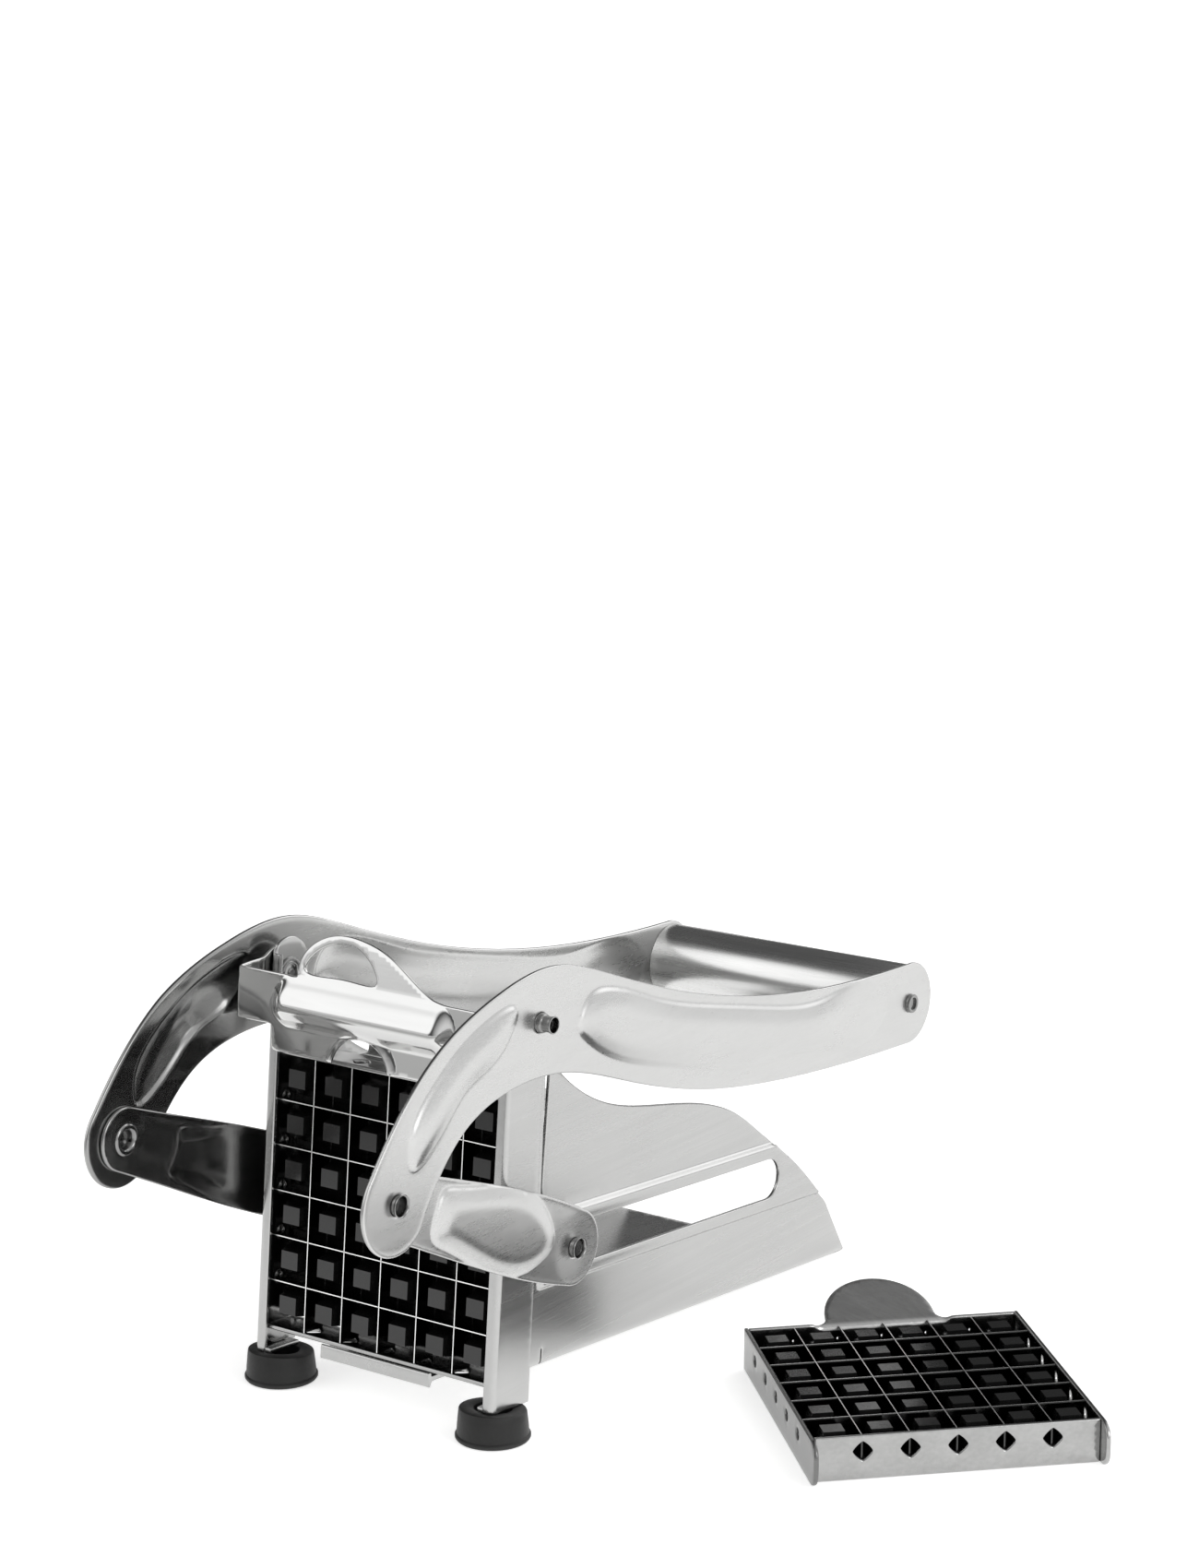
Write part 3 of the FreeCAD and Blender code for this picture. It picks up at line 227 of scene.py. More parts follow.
def node_loops(node, axis, level):
    """Closed outlines, largest first, of a CAD node's flat face that lies at a level on an upright axis."""
    mesh = NODES[node].data
    spots = [tuple(round(value, 3) for value in FROM_ROW @ vertex.co) for vertex in mesh.vertices]
    others = [number for number in range(3) if number != axis]
    ahead = {}
    for polygon in mesh.polygons:
        corners = [spots[index] for index in polygon.vertices]
        if all(abs(corner[axis] - level) < 0.03 for corner in corners):
            for start, end in zip(corners, corners[1:] + corners[:1]):
                if start in ahead.get(end, ()):
                    ahead[end].remove(start)
                elif start != end:
                    ahead.setdefault(start, []).append(end)
    loops = []
    while any(ahead.values()):
        spot = next(key for key, follow in ahead.items() if follow)
        loop = []
        while ahead.get(spot):
            loop.append(spot)
            spot = ahead[spot].pop()
        loops.append(np.array([[corner[number] for number in others] for corner in loop]))
    return sorted((loop for loop in loops if len(loop) > 2), key=lambda loop: -abs(area(loop)))


def area(loop):
    ahead = np.roll(loop, -1, axis=0)
    return 0.5 * float(np.sum(loop[:, 0] * ahead[:, 1] - ahead[:, 0] * loop[:, 1]))


def anticlockwise(loop):
    """The outline in the direction that has what it encloses on its left."""
    return loop if area(loop) > 0 else loop[::-1]


def arc_line(centre, radius, start, end, steps=16):
    turns = np.radians(np.linspace(start, end, steps + 1))
    return np.column_stack([centre[0] + radius * np.cos(turns), centre[1] + radius * np.sin(turns)])


def ring(centre, radius, steps=32):
    return arc_line(centre, radius, 0.0, 360.0, steps)[:-1]


def rounded_line(points, radius, steps=4):
    """The closed outline with its corners rounded."""
    points = np.asarray(points, float)
    result = []
    for before, corner, after in zip(np.roll(points, 1, axis=0), points, np.roll(points, -1, axis=0)):
        back, ahead = before - corner, after - corner
        reach = min(radius, 0.45 * np.linalg.norm(back), 0.45 * np.linalg.norm(ahead))
        start = corner + back / np.linalg.norm(back) * reach
        end = corner + ahead / np.linalg.norm(ahead) * reach
        for share in np.linspace(0.0, 1.0, steps + 1):
            result.append((1 - share) ** 2 * start + 2 * share * (1 - share) * corner + share ** 2 * end)
    return np.array(result)


CORNER_TURN = math.radians(25.0)
STRAIGHT_STEP = 2.5


def even_loop(points, spacing):
    """The closed outline with corners kept and curved or long parts divided evenly."""
    points = np.asarray(points, float)
    points = points[np.linalg.norm(points - np.roll(points, 1, axis=0), axis=1) > 1e-3]
    back = points - np.roll(points, 1, axis=0)
    ahead = np.roll(points, -1, axis=0) - points
    turn = np.abs(np.arctan2(back[:, 0] * ahead[:, 1] - back[:, 1] * ahead[:, 0], (back * ahead).sum(axis=1)))
    corners = np.flatnonzero(turn > CORNER_TURN)
    start = corners[0] if len(corners) else 0
    points, turn = np.roll(points, -start, axis=0), np.roll(turn, -start)
    points, stops = np.vstack([points, points[:1]]), [0]
    stops += [index for index in np.flatnonzero(turn > CORNER_TURN) if index] + [len(points) - 1]
    runs = [spread_run(points[first:last + 1], spacing)[:-1] for first, last in zip(stops, stops[1:])]
    return np.vstack(runs)


def spread_run(points, spacing):
    """Even points along a smooth open run, on a cubic through its knots; long straight parts stay so."""
    points = np.vstack([np.linspace(start, end, max(1, int(math.dist(start, end) / STRAIGHT_STEP)) + 1)[:-1]
                        for start, end in zip(points, points[1:])] + [points[-1:]])
    reach = np.concatenate([[0.0], np.cumsum(np.linalg.norm(np.diff(points, axis=0), axis=1))])
    count = max(1, int(round(reach[-1] / spacing)))
    at = np.linspace(0.0, reach[-1], count + 1)
    if len(points) < 3:
        return np.column_stack([np.interp(at, reach, points[:, axis]) for axis in (0, 1)])
    slopes = np.gradient(points, reach, axis=0)
    index = np.clip(np.searchsorted(reach, at, side="right") - 1, 0, len(points) - 2)
    width = reach[index + 1] - reach[index]
    share = ((at - reach[index]) / width)[:, None]
    width = width[:, None]
    square, cube = share ** 2, share ** 3
    return ((2 * cube - 3 * square + 1) * points[index] + (cube - 2 * square + share) * width * slopes[index]
            + (3 * square - 2 * cube) * points[index + 1] + (cube - square) * width * slopes[index + 1])


def slot_ring(start, end, level, radius):
    """Outline of a round-ended slot along the first axis."""
    near = arc_line((start + radius, level), radius, 90.0, 270.0)
    far = arc_line((end - radius, level), radius, -90.0, 90.0)
    return np.vstack([near, far])


def gap_to(points, loop):
    """Distance from each point to a closed outline."""
    nearest = np.full(len(points), 1e9)
    for start, end in zip(loop, np.roll(loop, -1, axis=0)):
        run = end - start
        offset = points - start
        share = np.clip(offset @ run / max(run @ run, 1e-12), 0.0, 1.0)
        away = offset - share[:, None] * run
        nearest = np.minimum(nearest, (away * away).sum(axis=1))
    return np.sqrt(nearest) if len(loop) else nearest


def row_at(along, level):
    """A row of flat points at one level of the second axis."""
    return np.column_stack([along, np.full(len(along), level)])


def column_at(across, levels):
    """A column of flat points at one place on the first axis."""
    return np.column_stack([np.full(len(levels), across), levels])


def within(points, loop):
    hit = np.zeros(len(points), bool)
    for start, end in zip(loop, np.roll(loop, -1, axis=0)):
        if start[1] == end[1]:
            continue
        crosses = (start[1] > points[:, 1]) != (end[1] > points[:, 1])
        edge = start[0] + (points[:, 1] - start[1]) * (end[0] - start[0]) / (end[1] - start[1])
        hit ^= crosses & (points[:, 0] < edge)
    return hit


def depth_in(points, loops):
    """How far inside the nearest of some outlines each point is; negative outside them."""
    depths = [np.where(within(points, loop), 1.0, -1.0) * gap_to(points, loop) for loop in loops]
    return np.max(depths, axis=0)


def dome_depth(points, loops):
    """Like depth_in, but with no creases where opposite edges of an outline are equally near.

    Each bit of the outline pulls on a point by its length over the cube of its distance. A long straight
    edge then pulls by two over the square of its distance, which gives the depth."""
    depth = depth_in(points, loops)
    shares = (0.125, 0.375, 0.625, 0.875)
    for loop in loops:
        run = np.roll(loop, -1, axis=0) - loop
        weight = np.linalg.norm(run, axis=1) / len(shares)
        for step in np.flatnonzero(within(points, loop)):
            pull = 0.0
            for share in shares:
                away = np.linalg.norm(loop + run * share - points[step], axis=1)
                pull += (weight / np.maximum(away, 0.1) ** 3).sum()
            depth[step] += (math.sqrt(2.0 / pull) - depth[step]) * float(ease((depth[step] - 0.4) / 1.2))
    return depth


def ease(value):
    value = np.clip(value, 0.0, 1.0)
    return value * value * (3.0 - 2.0 * value)


# ---- pressed sheet ----

def inset(loop, depth):
    """The outline moved into the material, which lies on its left."""
    back, ahead = loop - np.roll(loop, 1, axis=0), np.roll(loop, -1, axis=0) - loop
    back /= np.linalg.norm(back, axis=1)[:, None]
    ahead /= np.linalg.norm(ahead, axis=1)[:, None]
    normal = np.column_stack([-(back + ahead)[:, 1], (back + ahead)[:, 0]])
    normal /= np.maximum(np.linalg.norm(normal, axis=1)[:, None], 1e-9)
    lean = np.maximum(0.6, (normal * np.column_stack([-back[:, 1], back[:, 0]])).sum(axis=1))
    return loop + normal * (depth / lean)[:, None]


def filling(low, high, spacing):
    """Even staggered points over a rectangle."""
    levels = np.arange(low[1], high[1], spacing * 0.87)
    return np.vstack([row_at(np.arange(low[0] + (number % 2) * spacing / 2, high[0], spacing), level)
                      for number, level in enumerate(levels)])


def inside_material(points, loops):
    keep = within(points, loops[0])
    for hole in loops[1:]:
        keep &= ~within(points, hole)
    return keep


def thin_out(spots, taken, reach):
    """The spots that are not close to any taken point."""
    tree = KDTree(len(taken))
    for index, point in enumerate(taken):
        tree.insert((point[0], point[1], 0.0), index)
    tree.balance()
    return [spot for spot in spots if tree.find((spot[0], spot[1], 0.0))[2] > reach]


EDGE_STEPS = (0.0, 0.12, 0.42, 1.0)


def sheet(rim, holes, gauge, place, press=None, detail=(), spacing=1.5, edge=0.4):
    """A pressed sheet with rounded edges, as a mesh in row metres.

    rim and holes are outlines on the flat sheet. place takes flat points and their depth below the outside
    face to row metres. press(points) says how far the sheet is pressed out. detail holds extra flat points
    where the shape changes quickly. spacing is how far apart the other points are, and edge is how far the
    rounding of a rim reaches in."""
    loops = [anticlockwise(rim)] + [anticlockwise(hole)[::-1] for hole in holes]
    edge = min(edge, gauge * 0.48)
    points, links = [], []
    for loop in loops:
        for step in EDGE_STEPS:
            first, line = len(points), inset(loop, step * edge)
            points.extend(line)
            links.extend((first + index, first + (index + 1) % len(line)) for index in range(len(line)))
    extra = np.vstack([np.asarray(run) for run in detail]) if len(detail) else np.zeros((0, 2))
    spots = filling(loops[0].min(axis=0), loops[0].max(axis=0), spacing)
    for spots, reach in ((extra, spacing * 0.12), (spots, spacing * 0.55)):
        if len(spots):
            spots = spots[inside_material(spots, loops)]
            gap = np.min([gap_to(spots, loop) for loop in loops], axis=0)
            spots = spots[gap > edge + reach * 0.6]
            points.extend(thin_out(spots, points, reach))
    flat, _, faces, *_ = delaunay_2d_cdt([Vector(point) for point in points], links, [], 0, 1e-5)
    flat = np.array([tuple(point) for point in flat])
    faces = np.array([face for face in faces if len(face) == 3])
    faces = faces[inside_material(flat[faces].mean(axis=1), loops)]
    gap = np.min([gap_to(flat, loop) for loop in loops], axis=0)
    curl = edge - np.sqrt(np.maximum(0.0, edge ** 2 - np.maximum(0.0, edge - gap) ** 2))
    lift = press(flat) if press else np.zeros(len(flat))
    return close_sheet(place(flat, curl - lift), place(flat, gauge - curl - lift), faces)


def close_sheet(outer, inner, faces):
    """Joins the two faces of a sheet along their shared rim."""
    shape = bmesh.new()
    over = [shape.verts.new(point) for point in outer]
    under = [shape.verts.new(point) for point in inner]
    single = set()
    for face in faces.tolist():
        shape.faces.new([over[index] for index in face])
        shape.faces.new([under[index] for index in reversed(face)])
        for start, end in zip(face, face[1:] + face[:1]):
            if (end, start) in single:
                single.remove((end, start))
            else:
                single.add((start, end))
    for start, end in sorted(single):
        shape.faces.new([over[end], over[start], under[start], under[end]])
    loose = [vertex for vertex in shape.verts if not vertex.link_faces]
    bmesh.ops.delete(shape, geom=loose, context="VERTS")
    return finish_mesh(shape, 58.0)


def folded(run, depth, corner, radius):
    """Where a sheet with one square fold lies: run is along its outside face, depth below that face."""
    start = corner - radius
    turn = np.clip((run - start) / (2.0 * radius), 0.0, 1.0) * math.pi / 2
    reach = radius - depth
    beyond = np.maximum(0.0, run - corner - radius)
    ahead = np.where(run < start, run, start + reach * np.sin(turn))
    side = np.where(run < start, depth, radius - reach * np.cos(turn)) + beyond
    return ahead, side


def bent(run, depth, start, radius, angle):
    """Where a sheet with one bend of an angle lies: run is along its outside face, depth below that face."""
    turn = np.clip((run - start) / radius, 0.0, angle)
    beyond = np.maximum(0.0, run - start - radius * angle)
    reach = radius - depth
    ahead = np.where(run < start, run, start + reach * np.sin(turn) + beyond * math.cos(angle))
    return ahead, np.where(run < start, depth, radius - reach * np.cos(turn) + beyond * math.sin(angle))


def to_row(points, matrix=TO_ROW):
    """Upright millimetres to row metres."""
    turn, shift = np.array(matrix.to_3x3()), np.array(matrix.translation)
    return np.asarray(points, float) @ turn.T + shift


def side_place(side, outside, shift=None):
    """Places a side-view sheet whose outside face is at |X| = outside, moved outwards by shift."""
    def place(flat, depth):
        across = outside - depth + (shift(flat) if shift else 0.0)
        return to_row(np.column_stack([side * across, flat]))
    return place


# ---- turned and moulded parts ----

def bridge(shape, rings):
    """Joins each ring of vertices to the next one with faces. A ring may be a single vertex."""
    for near, far in zip(rings, rings[1:]):
        count = max(len(near), len(far))
        for step in range(count):
            after = (step + 1) % count
            corners = [near[step % len(near)], near[after % len(near)],
                       far[after % len(far)], far[step % len(far)]]
            corners = list(dict.fromkeys(corners))
            if len(corners) > 2:
                shape.faces.new(corners)


def lathe(profile, centre, side=1, segments=64, closed=False):
    """A turned shape about X: profile is (|X|, radius) pairs, and closed joins the last pair to the first."""
    shape = bmesh.new()
    rings = []
    for along, radius in profile:
        turns = np.linspace(0.0, 2 * math.pi, segments, endpoint=False) if radius > 1e-4 else [0.0]
        spots = [(side * along, centre[0] + radius * math.cos(turn), centre[1] + radius * math.sin(turn))
                 for turn in turns]
        rings.append([shape.verts.new(spot) for spot in to_row(spots)])
    bridge(shape, rings + rings[:1] if closed else rings)
    return finish_mesh(shape, 42.0)


def slab(shape, low, high):
    """Adds a box to a shape and returns its vertices, low corner first."""
    spots = [(x, y, z) for z in (low[2], high[2]) for y in (low[1], high[1]) for x in (low[0], high[0])]
    corners = [shape.verts.new(spot) for spot in spots]
    for face in ((0, 2, 3, 1), (4, 5, 7, 6), (0, 1, 5, 4), (2, 6, 7, 3), (0, 4, 6, 2), (1, 3, 7, 5)):
        shape.faces.new([corners[index] for index in face])
    return corners


def ease_edges(shape, width, segments, angle=35.0):
    """Rounds every edge of a shape that is sharper than an angle."""
    sharp = [edge for edge in shape.edges
             if len(edge.link_faces) == 2 and edge.calc_face_angle(0.0) > math.radians(angle)]
    bmesh.ops.bevel(shape, geom=sharp, offset=width, offset_type="OFFSET", segments=segments, profile=0.6,
                    affect="EDGES", clamp_overlap=True)
    bmesh.ops.triangulate(shape, faces=[face for face in shape.faces if len(face.verts) > 4])


# ---- pieces ----

def piece(name, mesh, replaced):
    """Adds a mesh that is in row metres to the model, standing in for a CAD node.

    The spare cassette's left plate is shaded in the photograph, so its steel is darker."""
    mesh.name = name
    item = bpy.data.objects.new(name, mesh)
    bpy.context.scene.collection.objects.link(item)
    slot = SLOT_OF[replaced]
    mesh.materials.append(MATERIALS["shaded_steel" if replaced == "spare_cassette_left_plate" else slot])
    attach(item, BODY_OF[replaced])
    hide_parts(replaced)
    return item


def finish_mesh(shape, sharp_degrees):
    """Makes a mesh from a shape in row metres, smooth except at sharp edges."""
    bmesh.ops.recalc_face_normals(shape, faces=shape.faces)
    for face in shape.faces:
        face.smooth = True
    for edge in shape.edges:
        if len(edge.link_faces) == 2 and edge.calc_face_angle() > math.radians(sharp_degrees):
            edge.smooth = False
    mesh = bpy.data.meshes.new("piece")
    shape.to_mesh(mesh)
    shape.free()
    return mesh


def rounded(node, width):
    """A copy of a CAD node with its sharp edges rounded over."""
    shape = bmesh.new()
    shape.from_mesh(NODES[node].data)
    bmesh.ops.remove_doubles(shape, verts=shape.verts, dist=1e-6)
    bmesh.ops.dissolve_limit(shape, angle_limit=math.radians(0.6), verts=shape.verts, edges=shape.edges)
    ease_edges(shape, width * 0.001, 2)
    piece(f"{node}_finished", finish_mesh(shape, 34.0), node)


GAUGE = 1.2
THIN_GAUGE = 0.9
ARM_OUTSIDE = 42.5
LINK_OUTSIDE = 41.0
PIN_HOLE = 2.5
SPLAY = 2.7
SPLAY_START = 60.0
KNEE_FLAT = 13.0
RIB_STEPS = (-0.9, -0.5, -0.1, 0.3, 0.7, 1.1, 1.6)


def arm_splay(flat):
    """How far the left arm leans outwards, from nothing at SPLAY_START to all of it at the knee."""
    share = (SPLAY_START - flat[:, 0]) / (SPLAY_START - KNEE[0] - KNEE_FLAT)
    return SPLAY * np.clip(share, 0.0, 1.0) ** 1.3


def link_splay(flat):
    """How far the left link leans outwards, so that it stays beside the left arm at the knee."""
    run = np.array(KNEE) - np.array(SLIDER)
    along = (flat - np.array(SLIDER)) @ run / np.linalg.norm(run)
    return SPLAY * np.clip(along / (np.linalg.norm(run) - KNEE_FLAT), 0.0, 1.0)


def near_rim(gap, reach):
    """1 at a sheet's rim, easing to 0 at a reach from it."""
    return np.clip(1.0 - gap / reach, 0.0, 1.0) ** 2


def make_arm(label, side):
    node = f"{label}_arm"
    rim = anticlockwise(even_loop(node_loops(node, 0, side * (ARM_OUTSIDE - GAUGE))[0], 1.3))
    ribs = node_loops(node, 0, side * (ARM_OUTSIDE + 2.2))[:2]
    ribs = [even_loop(anticlockwise(rib), 1.0) for rib in ribs]
    holes = [ring(PIVOT, 2.56), ring(KNEE, PIN_HOLE), ring(GRIP, 2.0)]
    detail = [inset(rim, reach) for reach in (0.9, 1.4, 1.9, 2.6)]
    detail += [ring(centre, reach) for centre in (PIVOT, KNEE, GRIP) for reach in (3.3, 4.1, 5.0)]
    detail += [inset(rib, reach) for rib in ribs for reach in RIB_STEPS]

    def press(flat):
        depth = dome_depth(flat, ribs)
        crease = 0.6 * ease((depth + 0.8) / 2.0)
        dome = 1.6 * ease((depth + 0.6) / 6.4)
        fading = 1.0 - 0.75 * ease((flat[:, 0] - 130.0) / 45.0)
        return (crease + dome) * fading + 0.16 * near_rim(gap_to(flat, rim), 1.8)

    place = side_place(side, ARM_OUTSIDE, arm_splay if side < 0 else None)
    piece(f"{node}_pressing", sheet(rim, holes, GAUGE, place, press, detail, 1.5), node)


def make_link(label, side):
    node = f"{label}_link"
    rim = anticlockwise(even_loop(node_loops(node, 0, side * (LINK_OUTSIDE - THIN_GAUGE))[0], 1.2))
    ribs = node_loops(node, 0, side * (LINK_OUTSIDE + 2.2))[:1]
    ribs = [even_loop(anticlockwise(rib), 1.0) for rib in ribs]
    holes = [ring(KNEE, 2.56), ring(SLIDER, PIN_HOLE)]
    detail = [inset(rim, reach) for reach in (0.8, 1.3, 1.9)]
    detail += [ring(centre, reach) for centre in (KNEE, SLIDER) for reach in (3.2, 4.0, 4.8, 5.6, 6.6, 7.6)]
    detail += [inset(rib, reach) for rib in ribs for reach in RIB_STEPS]

    def press(flat):
        depth = dome_depth(flat, ribs)
        crease = 0.5 * ease((depth + 0.7) / 1.7)
        dome = 1.4 * ease((depth + 0.4) / 5.0)
        from_slider = np.linalg.norm(flat - np.array(SLIDER), axis=1)
        from_knee = np.linalg.norm(flat - np.array(KNEE), axis=1)
        slider_dish = 0.45 * np.clip(1.0 - (from_slider - 3.0) / 6.2, 0.0, 1.0)
        knee_dish = 0.25 * (1.0 - ease((from_knee - 4.2) / 3.2))
        return crease + dome - (slider_dish + knee_dish) + 0.12 * near_rim(gap_to(flat, rim), 1.6)

    place = side_place(side, LINK_OUTSIDE, link_splay if side < 0 else None)
    piece(f"{node}_pressing", sheet(rim, holes, THIN_GAUGE, place, press, detail, 1.3), node)


PIVOT_PIN = [(36.7, 0.0), (36.7, 0.9), (37.05, 1.2), (37.05, 1.5), (36.7, 1.9), (36.7, 3.0), (36.95, 3.2),
             (36.85, 3.5), (36.9, 3.9), (37.0, 4.1), (37.3, 4.2), (37.5, 4.1), (37.5, 2.5), (43.4, 2.5),
             (43.75, 2.35), (44.0, 2.05), (45.3, 2.0), (46.0, 2.12), (46.45, 2.28), (46.6, 2.22),
             (46.6, 1.95), (46.3, 1.85), (43.4, 1.8), (43.2, 1.6), (43.2, 0.0)]
RIVET_HEAD = [(41.6, 0.0), (41.6, 2.0), (40.2, 2.3), (39.7, 2.6), (39.45, 2.95), (39.36, 3.3), (39.4, 3.6),
              (39.55, 3.9), (39.8, 4.1), (40.08, 4.0), (40.08, 2.5)]
RIVET_TIP = [(-0.9, 2.5), (-0.45, 2.62), (-0.2, 2.85), (-0.05, 2.92), (0.0, 2.86), (-0.02, 2.66),
             (-0.25, 2.45), (-0.7, 2.3), (-2.6, 2.25), (-2.7, 0.0)]
KNEE_TIP = 44.1
SLIDE_TIP = 42.4


def rivet(tip):
    """The outline of a hollow rivet whose open end is at |X| = tip."""
    return RIVET_HEAD + [(tip + along, radius) for along, radius in RIVET_TIP]


def make_pins(label, side):
    splay = SPLAY if side < 0 else 0.0
    knee = [(along + splay, radius) for along, radius in rivet(KNEE_TIP)]
    pins = (("pivot", PIVOT_PIN, PIVOT), ("knee", knee, KNEE), ("slide", rivet(SLIDE_TIP), SLIDER))
    for name, profile, centre in pins:
        node = f"{label}_{name}_pin"
        piece(f"{node}_turned", lathe(profile, centre, side), node)


TUBE = [(-41.3, 10.15), (-41.15, 10.0), (41.15, 10.0), (41.3, 10.15), (41.3, 10.75), (41.2, 10.93),
        (41.0, 11.0), (-41.0, 11.0), (-41.2, 10.93), (-41.3, 10.75)]
GRIP_SCREW = [(33.4, 0.0), (33.4, 2.0), (42.5, 2.0), (42.5, 2.6), (42.7, 2.72), (43.4, 2.72), (43.62, 2.66),
              (43.7, 2.5), (43.7, 2.0), (43.55, 1.8), (43.0, 1.75), (42.9, 0.0)]


def make_handle():
    piece("handle_tube_drawn", lathe(TUBE, GRIP, segments=128, closed=True), "handle_tube")
    for label, side in SIDES:
        piece(f"handle_{label}_screw_turned", lathe(GRIP_SCREW, GRIP, side), "handle_screws")


# ---- trough, channels and cover ----

TROUGH_CORNER = 37.4
TROUGH_BOTTOM = -35.8
TROUGH_FOLD = 2.2
SLOT_LEVEL = SLIDER[1]
SLOT_HALF = 5.6
BAND_RISE = 1.5


def wall_run(height):
    """Distance along the trough's flat sheet, from the floor's middle, to a height on a wall."""
    return TROUGH_CORNER + height - TROUGH_BOTTOM


def trough_place(flat, depth):
    """Folds the flat trough up into its floor and two walls."""
    ahead, up = folded(np.abs(flat[:, 1]), depth, TROUGH_CORNER, TROUGH_FOLD)
    return to_row(np.column_stack([np.sign(flat[:, 1]) * ahead, flat[:, 0], TROUGH_BOTTOM + up]))


def make_trough():
    wall = node_loops("trough", 0, TROUGH_CORNER)[0]
    crest = wall[(wall[:, 1] > np.where(wall[:, 0] < 100.0, 0.0, -33.5)) & (wall[:, 0] > 11.5)]
    crest = crest[np.argsort(crest[:, 0])]
    crest = np.vstack([[(11.4, 50.4), (11.9, 50.95)], crest[crest[:, 0] > 12.2]])
    right = np.column_stack([crest[:, 0], wall_run(crest[:, 1])])
    tail = [(169.4, 38.2), (168.6, 36.9), (163.5, 36.4), (160.8, 35.2), (160.0, 33.8)]
    side_rim = np.vstack([right, tail])
    rim = anticlockwise(even_loop(np.vstack([side_rim, side_rim[::-1] * (1, -1)]), 1.3))
    holes = [even_loop(slot_ring(20.2, 141.8, 0.0, 1.8), 1.2)]
    slit = np.array([(19.4, 36.2), (20.0, 36.2), (20.0, 42.0), (19.7, 42.3), (19.4, 42.0)])
    along = np.arange(12.5, 160.0, 1.1)
    bands, detail = [], []
    for _, side in SIDES:
        holes.append(even_loop(slot_ring(20.5, 128.0, side * wall_run(SLOT_LEVEL), SLOT_HALF), 1.1))
        holes.append(even_loop(slit * (1, side), 0.6))
        band = node_loops("trough", 0, side * (TROUGH_CORNER + BAND_RISE))[0]
        band = np.column_stack([band[:, 0], side * wall_run(band[:, 1])])
        band = anticlockwise(even_loop(rounded_line(band, 1.2) if len(band) < 12 else band, 1.0))
        bands.append(band)
        detail += [inset(band, reach) for reach in (-0.7, -0.3, 0.1, 0.5, 0.9, 1.3)]
        detail += [row_at(along, side * (TROUGH_CORNER + TROUGH_FOLD * step))
                   for step in np.linspace(-1.0, 1.0, 11)]

    def press(flat):
        return BAND_RISE * ease((depth_in(flat, bands) + 0.5) / 1.6)

    mesh = sheet(rim, holes, GAUGE, trough_place, press, detail, 1.9)
    piece("trough_pressing", mesh, "trough")
    make_lip()


def make_lip():
    """The tongue of the trough's floor that steps down and carries the middle of the cassette."""
    line = [(0.2, -37.35), (-0.9, -37.35), (-0.95, -40.9), (-0.1, -41.2), (0.6, -39.6), (12.9, -39.6),
            (12.95, -35.75), (14.0, -35.7), (14.0, -34.9), (11.85, -34.7), (11.8, -38.4), (0.2, -38.4)]
    section = rounded_line(line, 0.5, 3)
    shape = bmesh.new()
    rows = []
    for across in (-17.5, -17.2, 17.2, 17.5):
        spots = to_row(column_at(across, section))
        rows.append([shape.verts.new(spot) for spot in spots])
    bridge(shape, rows)
    for row in (rows[0], rows[-1]):
        shape.faces.new(row)
    bmesh.ops.triangulate(shape, faces=[face for face in shape.faces if len(face.verts) > 4])
    piece("trough_lip", finish_mesh(shape, 34.0), "trough")


CHANNEL_FRONT = -2.0
CHANNEL_INNER = 35.3
CHANNEL_OUTER = 38.7
CHANNEL_FOOT = -43.2
CHANNEL_TOP = 62.0
FLANGE = 3.4


def make_channel(label, side):
    """An angle-section post, its front flange folded into its web, and the shelf that stands on the foot."""
    node = f"{label}_guide_channel"
    web = node_loops(node, 0, side * CHANNEL_OUTER)[0]
    crown = web[(web[:, 1] > 58.0) & (web[:, 0] > -1.5)]
    crown = crown[np.argsort(-crown[:, 0])]
    start = FLANGE - CHANNEL_FRONT
    corners = [(0.0, CHANNEL_FOOT), (start + 13.4, CHANNEL_FOOT)]
    top = [(start + y, z) for y, z in crown] + [(FLANGE, CHANNEL_TOP), (0.0, CHANNEL_TOP)]
    rim = anticlockwise(even_loop(np.array(corners + top), 1.2))
    holes = [ring((start + PIVOT[0], PIVOT[1]), PIN_HOLE)]
    levels = np.arange(-42.5, 61.5, 1.1)
    detail = [column_at(FLANGE + 0.5 * FLANGE * step, levels) for step in np.linspace(-1.0, 1.0, 9)]

    def place(flat, depth):
        across, back = folded(flat[:, 0], depth, FLANGE, 0.5 * FLANGE)
        return to_row(np.column_stack([side * (CHANNEL_INNER + across), back + CHANNEL_FRONT, flat[:, 1]]))

    piece(f"{node}_folded", sheet(rim, holes, GAUGE, place, None, detail, 1.7), node)
    shape = bmesh.new()
    near, far = sorted((side * 33.5, side * 38.2))
    slab(shape, (near, -1.6, CHANNEL_FOOT), (far, 10.0, CHANNEL_FOOT + GAUGE))
    bmesh.ops.transform(shape, matrix=TO_ROW, verts=shape.verts)
    ease_edges(shape, 0.00035, 2)
    piece(f"{node}_shelf", finish_mesh(shape, 34.0), node)


COVER_FRONT = -12.0
COVER_SIDE = 40.0
NOTCH_CENTRE, NOTCH_RADIUS = (0.6, 38.2), 9.2
RIB_LEVEL, RIB_STRAIGHT, RIB_RISE = 52.3, 23.3, 3.9
RIB_ABOVE, RIB_BELOW = 7.6, 5.9
SKIRT_FOOT = 39.8
STRAP_FOOT, STRAP_TOP = 46.4, 59.8
BOX_TOP = 60.5
LOBE_LEAN = 0.13
LEFT_BULGE = 1.1


